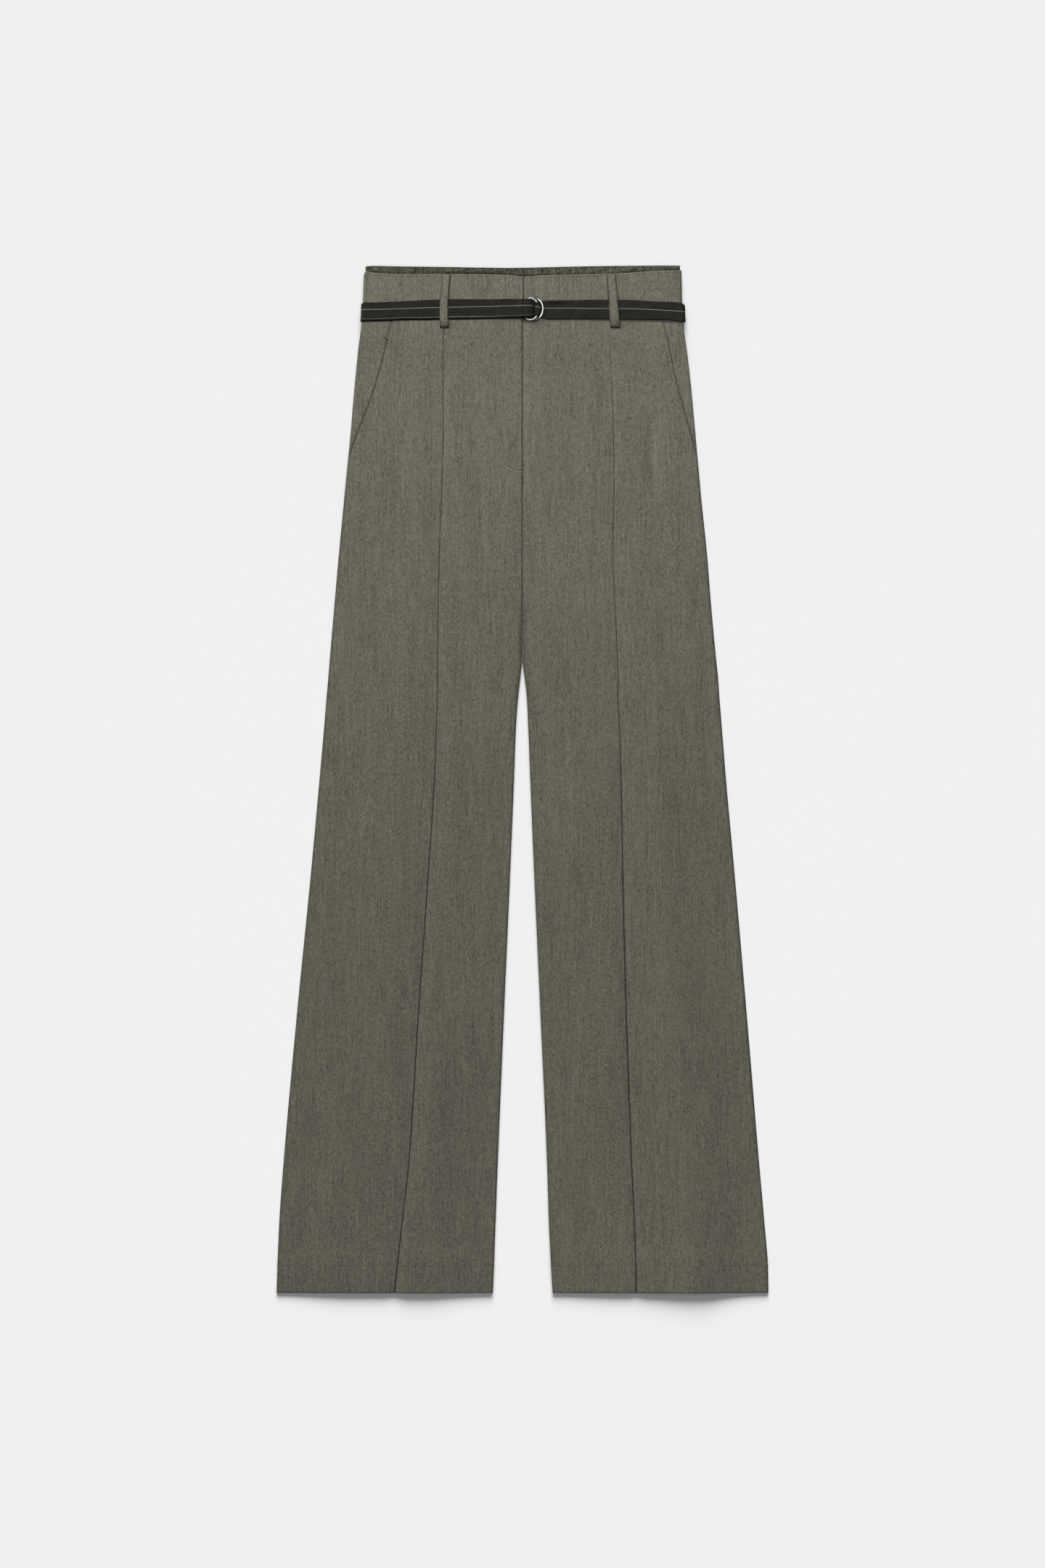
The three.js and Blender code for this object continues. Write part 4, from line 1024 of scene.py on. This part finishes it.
tail_line = rows_of("x mid width line row_light", [
    (15.6, 503.0, 14.2, 2.2, 0.0),
    (23, 502.8, 19.2, 1.4, 0.5),
    (30, 502.6, 20.6, 1.3, 0.6),
    (55, 502.9, 20.6, 1.0, 0.8),
    (75, 503.2, 21.3, 0.4, 1.0),
    (112, 502.9, 21.4, 0.5, 0.9),
    (140, 501.7, 20.2, 0.7, 0.6),
    (158, 500.9, 19.5, 0.5, 0.1),
    (165, 500.3, 20.1, 0.6, 0.1),
    (169.5, 499.8, 19.9, 0.8, 0.1),
    (171.6, 499.4, 19.2, 1.0, 0.1),
    (173, 498.7, 18.2, 1.2, 0.1),
])
strap, side_x, front_round, back_round = 1.0, 172.7, 3.5, 1.3
back_mid, back_width, wrap_from, return_end = 500, 20.2, 150, -20
turn_x, turn_radius, tail_laid, tail_end = 15.6, 2.3, 24, 120
side_lean, side_set_in = 0.8, 0.35


def straight(start, end, z, step):
    x = np.linspace(start, end, int(abs(end - start) / step) + 2)
    return np.stack([x, np.full_like(x, z), np.zeros_like(x)], -1)


def arc(x, z, radius, start, end, steps, side):
    a = np.radians(np.linspace(start, end, steps))
    return np.stack([x + radius * np.cos(a), z + radius * np.sin(a), np.full_like(a, side)], -1)


def round_side(sign, outwards):
    """Round the left (-1) or right (1) side from the back to the front."""
    low = arc(side_x - back_round, belt_back_z + back_round, back_round + outwards, -90, 0, 9, 1)
    x, z = side_x - front_round, belt_front_z - front_round
    return np.concatenate([low, arc(x, z, front_round + outwards, 0, 90, 12, 1)]) * (sign, 1, 1)


def with_line(stations, table, back=False):
    """Each station gets the middle and the half width of the strap there, and how far it stands
    out round the side: x, z, mid, half, side."""
    x, z, side = stations.T
    down = smooth(z, belt_front_z, belt_back_z)
    share = smooth(np.abs(x), wrap_from, side_x - back_round) if back else 1.0
    mid = back_mid + (line_of(table, "x", "mid")(x) - back_mid) * share
    width = back_width + (line_of(table, "x", "width")(x) - back_width) * share
    return np.stack([x, z, mid, width / 2, 4 * side * down * (1 - down) * np.sign(x)], -1)


def strap_grid(stations):
    """Points over the middle surface of the belt, with its lower edge leaning out at the sides."""
    x, z, mid, half, side = (values[:, None] for values in stations.T)
    across = strap_across[None, :]
    out = side * (side_lean * across - side_set_in)
    return np.stack([x + out, mid - across * half, z + 0 * across], -1), stations[:, 3]


def joined(*stretches):
    stations = np.concatenate(stretches)
    moved = np.hypot(*np.diff(stations[:, :2], axis=0).T)
    return stations[np.concatenate([[True], moved > 0.05])]


strap_across = np.array([-1, -0.985, -0.955, -0.91, -0.82, -0.66, -0.44, -0.22, 0])
strap_across = np.concatenate([strap_across, -strap_across[-2::-1]])


def strap_piece(name, middle, half, wall, shaded=0.0, tone_with_painted_shading=(-0.6, 0.6)):
    """A strap round a grid of points on its middle surface, with its edges rounded and darkened by
    painted shade, and with the place along and across it kept on the mesh in millimetres."""
    along = np.gradient(middle, axis=0)
    across = np.repeat((middle[:, -1:] - middle[:, :1]), middle.shape[1], axis=1)
    normal = np.cross(across, along)
    normal /= np.linalg.norm(normal, axis=2)[:, :, None]
    reach = half[:, None] * (1 - np.abs(strap_across))[None, :]
    steps = np.linalg.norm(np.diff(middle[:, middle.shape[1] // 2], axis=0), axis=1)
    run = np.concatenate([[0], np.cumsum(steps)])
    from_end = np.minimum(run, run[-1] - run)
    full = np.minimum(rolled(reach, wall * 0.9), rolled(from_end, 0.8)[:, None])
    offset = normal * (wall / 2 * full)[:, :, None]
    piece = sewn_mesh(name, middle + offset, middle - offset)
    place = {
        "along": np.repeat(run[:, None], middle.shape[1], axis=1),
        "across": -half[:, None] * strap_across[None, :],
        # Painted shade along both edges, added to any painted shading given.
        "painted_shading": shaded + tone_with_painted_shading[0] * hump(reach, tone_with_painted_shading[1]),
    }
    for key, values in place.items():
        keep_on(piece, key, values)
    return piece, float(run[-1]), middle, normal * (wall / 2)


def edge_line(grid, share):
    """The line along a strap at a share of its half width from the middle."""
    i = int(np.searchsorted(strap_across, share))
    t = (share - strap_across[i - 1]) / (strap_across[i] - strap_across[i - 1])
    return grid[:, i - 1] * (1 - t) + grid[:, i] * t


def belt_finish(name):
    """Dark ribbed cloth with its light line and its row of edge stitches, which keep the place
    across the belt that the mesh gives them."""
    finish, shader, start = finish_of(name, roughness=0.9, specular=0.06)
    along, across = kept_place(start, "along"), kept_place(start, "across")
    wander = mottle(start, 3.0, 3.0, 1.0, seed=7.0)
    rib = start.maths("SINE", along * (2 * math.pi / 1.25) + wander * 3.0) * 0.5 + 0.5
    specks = mottle(start, 0.7, 0.9, 1.0, seed=19.0)
    patches = mottle(start, 9.0, 6.0, 2.0, seed=23.0)
    tone = 1.0 + (rib - 0.5) * 0.25 + (specks - 0.5) * 1.9 + (patches - 0.5) * 0.9
    ground = start.node("ShaderNodeRGB")
    ground.socket.default_value = (0.0206, 0.0199, 0.0166, 1)
    # The belt is darkened by the painted shade kept on the mesh along its edges and creases.
    colour = ground.tinted(tone * (kept_place(start, "painted_shading") + 1.0))
    off_line = start.maths("ABSOLUTE", across - kept_place(start, "light_line"))
    line = (1.0 - off_line.step(0.16, 0.45)) * ((specks - 0.5) * 0.8 + 0.72)
    colour = line.blend(colour, (0.30, 0.29, 0.26, 1))
    off_row = start.maths("ABSOLUTE", across - kept_place(start, "edge_row"))
    dots = start.maths("SINE", along * (2 * math.pi / 1.56)).step(-1.5, 0.5)
    row = (1.0 - off_row.step(0.12, 0.42)) * dots * kept_place(start, "row_light")
    colour = row.blend(colour, (0.27, 0.26, 0.23, 1))
    feed(colour, shader, "Base Color")
    height = rib * 0.25 + specks * 0.5 + line * 0.8 - (1.0 - off_row.step(0.3, 1.1)) * 0.5
    feed(raised(start, height, 0.2), shader, "Normal")
    return finish


def belt_marks(piece, line, row, light):
    """Where the light line and the row of stitches run, and how brightly the row shows."""
    for key, values in (("light_line", line), ("edge_row", row), ("row_light", light)):
        keep_on(piece, key, values)


bars_x, bars_top = ring_upper["bar"], belt_front_z
over_bars = curve_through(
    [
        (return_end - 7, bars_top),
        (return_end - 2, tail_front_z - 0.1),
        (return_end + 5, tail_front_z + 0.05),
        (-6, tail_front_z + 0.4),
        (-1, bars_top + 4.9),
        (bars_x, bars_top + 7.05),
        (7.6, bars_top + 6.5),
        (10.8, bars_top + 4.6),
        (11.9, bars_top + 2.6),
        (11.5, bars_top + 0.95),
        (10.0, bars_top + 0.1),
        (8.0, bars_top),
    ],
    6,
)
over_bars = np.column_stack([over_bars, np.zeros(len(over_bars))])
left_stations = joined(
    with_line(straight(-gap / 2, back_round - side_x, belt_back_z, 4), belt_left_line, True),
    with_line(round_side(-1, 0), belt_left_line),
    with_line(straight(front_round - side_x, return_end - 7, belt_front_z, 2.5), belt_left_line),
    with_line(over_bars, belt_left_line),
    with_line(straight(8, return_end, belt_front_z, 2), belt_left_line),
)
middle, half = strap_grid(left_stations)
left_x, above_edge = middle[:, :, 0], (1 - strap_across[None, :]) * half[:, None]
# Painted shade: a soft dark crease where the fly's edge lies under the belt, and a dark band along
# the belt's lower edge that stands for its shadow.
fly_crease_shade = -0.35 * hump(left_x - 0.8, 1.0)
belt_left, left_length, _, _ = strap_piece(
    "belt_left_strap", middle, half, strap, fly_crease_shade - 0.7 * (1 - smooth(above_edge, 1.0, 2.4))
)
belt_cloth = belt_finish("belt_cloth")
line_place, row_light = (line_of(belt_left_line, "x", key)(left_x) for key in ("line", "row_light"))
belt_marks(belt_left, line_place, np.repeat(2.8 - half[:, None], middle.shape[1], axis=1), row_light)
dress(belt_left, belt_cloth, "belt_cloth", "belt_left")
laid_sheet(belt_left, left_length, back_width, left_length * back_width, ["outer_band_back"])

turn_top = belt_front_z + 2 * turn_radius


def bow_at(ring, across):
    """How far out the bow of a ring stands, at a distance across from its middle."""
    reach = ring["bow"] - ring["bar"] - ring_shoulder
    share = np.clip(1 - (across / ring_half) ** 2, 0, 1)
    return ring["bar"] + ring_shoulder + reach * np.sqrt(share)


def tail_height(x, across):
    """The tail drops from over the upper ring's bow to under the lower ring's bow."""
    start = np.maximum(turn_x, bow_at(ring_upper, across) + 0.3)
    end = bow_at(ring_lower, across) - 1.3
    t = np.clip((x - start) / (end - start), 0, 1)
    return tail_front_z + (turn_top - tail_front_z) * (1 - t * t * (3 - 2 * t))


incoming = joined(
    with_line(straight(gap / 2, side_x - back_round, belt_back_z, 4), belt_right_line, True),
    with_line(round_side(1, 0), belt_right_line),
    with_line(straight(side_x - front_round, turn_x, belt_front_z, 2.5), belt_right_line),
    with_line(
        arc(turn_x, belt_front_z + turn_radius, turn_radius, 270, 90, 16, 0), belt_right_line, False
    ),
)
over_bow = with_line(straight(turn_x, tail_laid, turn_top, 0.5), tail_line)
outgoing = joined(
    with_line(straight(tail_laid, side_x - front_round, tail_front_z, 2.5), tail_line),
    with_line(round_side(1, strap + gap)[::-1], tail_line),
    with_line(straight(side_x - back_round, tail_end, tail_back_z, 4), tail_line, True),
)
stations = np.concatenate([incoming, over_bow[1:], outgoing[1:]])
laid = np.zeros(len(stations), bool)
laid[len(incoming) : len(incoming) + len(over_bow) - 1] = True
middle, half = strap_grid(stations)
middle[laid, :, 2] = tail_height(middle[laid, :, 0], middle[laid, :, 1] - ring_middle)
tail = np.repeat((np.arange(len(half)) > len(incoming) - 9)[:, None], middle.shape[1], axis=1)
tail_x, tail_y = middle[:, :, 0], middle[:, :, 1]
# Painted shade in a soft dent across the tail.
dent = hump(tail_x - 35, 9) * hump(tail_y - 509.6, 2)
belt_right, right_length, _, _ = strap_piece(
    "belt_right_strap", middle, half, strap, np.where(tail, -0.6 * dent, 0)
)
line_place, row_light = (line_of(tail_line, "x", key)(tail_x) for key in ("line", "row_light"))
row_side = np.where(tail, 1, -1) * (half - 0.4)[:, None]
belt_marks(
    belt_right, np.where(tail, line_place, 1.6), row_side, np.where(tail, row_light, 0.7)
)
dress(belt_right, belt_cloth, "belt_cloth", "belt_right")
laid_sheet(belt_right, right_length, back_width, right_length * back_width, ["outer_band_back"])

# ---- belt loops --------------------------------------------------------------------------------
# Narrow folded straps of the trouser cloth, from the top edge of the outer band over the belt to
# below the waist seam. The front ones are turned under at the foot and show one row of stitches,
# along the right edge. The back ones lie flat and show two.
front_loops = rows_of("name top middle foot width lift darker_side", [
    ("loop_front_left", -81.4, -84.2, -83.6, 9.1, belt_front_z, 1),
    ("loop_front_right", 94.8, 97.8, 99.2, 10.0, tail_front_z, -1),
])
back_loops = rows_of("name x", [
    ("loop_back_left", -88),
    ("loop_back_centre", 0),
    ("loop_back_right", 88),
])
loop_foot, loop_turn, back_loop_width, front_crown, row_share = 483, 0.65, 9.0, 0.35, 0.78


def loop_piece(name, path, x_at, width, crown, darker_side):
    """A loop along a path of heights y and z, a little fuller in its middle than at its edges."""
    line = curve_through(path, 5)
    y, z = line.T
    half = np.full(len(y), width / 2)
    middle = np.stack(
        [
            x_at(y)[:, None] + strap_across[None, :] * half[:, None],
            np.repeat(y[:, None], len(strap_across), axis=1),
            z[:, None] - crown * np.abs(strap_across[None, :]) ** 3,
        ],
        -1,
    )
    # Painted shade: along one side where the loop stands off the band, more faintly along the other,
    # and over the curled foot, darkest at its turn.
    side = hump(strap_across - darker_side, 0.2) + 0.45 * hump(strap_across + darker_side, 0.16)
    side = side[None, :]
    shaded = -0.55 * side * (smooth(y, 500, 512) * smooth(y, 543, 536))[:, None]
    shaded = shaded - (0.35 * smooth(y, 493, 486) + 0.4 * smooth(y, 486, 484.6))[:, None]
    return strap_piece(name, middle, half, strap, shaded, (-0.4, 1.0))


loop_rows = []
for loop in front_loops:
    places = [(541, loop["top"]), (502, loop["middle"]), (loop_foot, loop["foot"])]
    across_line = line_of(rows_of("y x", places), "y", "x")
    high = loop["lift"] + strap + gap
    turned = front_band_z + cloth + gap + strap / 2
    foot = loop_foot + loop_turn + strap / 2
    path = [
        (float(outer_top(loop["top"])) - 0.2, belt_front_z),
        (533, belt_front_z),
        (525, belt_front_z + 0.1),
        (520.5, belt_front_z + (high - belt_front_z) * 0.45),
        (516.4, high - 0.02),
        (510, high + 0.1),
        (500, high + 0.15),
        (491, high),
        (487.5, turned + 2 * loop_turn + (high - turned - 2 * loop_turn) * 0.4),
        (foot, turned + 2 * loop_turn),
        (foot - loop_turn, turned + loop_turn),
        (foot, turned),
        (486.6, turned),
        (489.2, turned),
    ]
    piece, length, middle, offset = loop_piece(
        loop["name"] + "_strap", path, across_line, loop["width"], front_crown, loop["darker_side"]
    )
    line, out = edge_line(middle, row_share), -edge_line(offset, row_share)
    before_turn = len(line) * 9 // 13
    loop_rows.append(((line + out)[:before_turn], out[:before_turn]))
    dress(piece, trouser_cloth, "trouser_cloth", loop["name"])
    strap_sheet(piece, loop["width"], length, ["outer_band_front_left"])

for loop in back_loops:
    sewn = belt_back_z
    path = [
        (541, sewn),
        (516.5, sewn - 0.05),
        (514, strap / 2 + 0.4),
        (511, strap / 2),
        (489, strap / 2),
        (486.5, strap / 2 + 0.4),
        (484.5, sewn - 0.05),
        (480.5, sewn),
    ]
    piece, length, middle, offset = loop_piece(
        loop["name"] + "_strap", path, lambda y, x=loop["x"]: np.full_like(y, x),
        back_loop_width, 0.0, 1,
    )
    for share in (-row_share, row_share):
        out = edge_line(offset, share)
        loop_rows.append((edge_line(middle, share) + out, out))
    dress(piece, trouser_cloth, "trouser_cloth", loop["name"])
    strap_sheet(piece, back_loop_width, length, ["belt_left", "belt_right"])

stitch_row("loop_stitches", thread_and_hole_shade, loop_rows, 2.0, 1.1, 0.2)
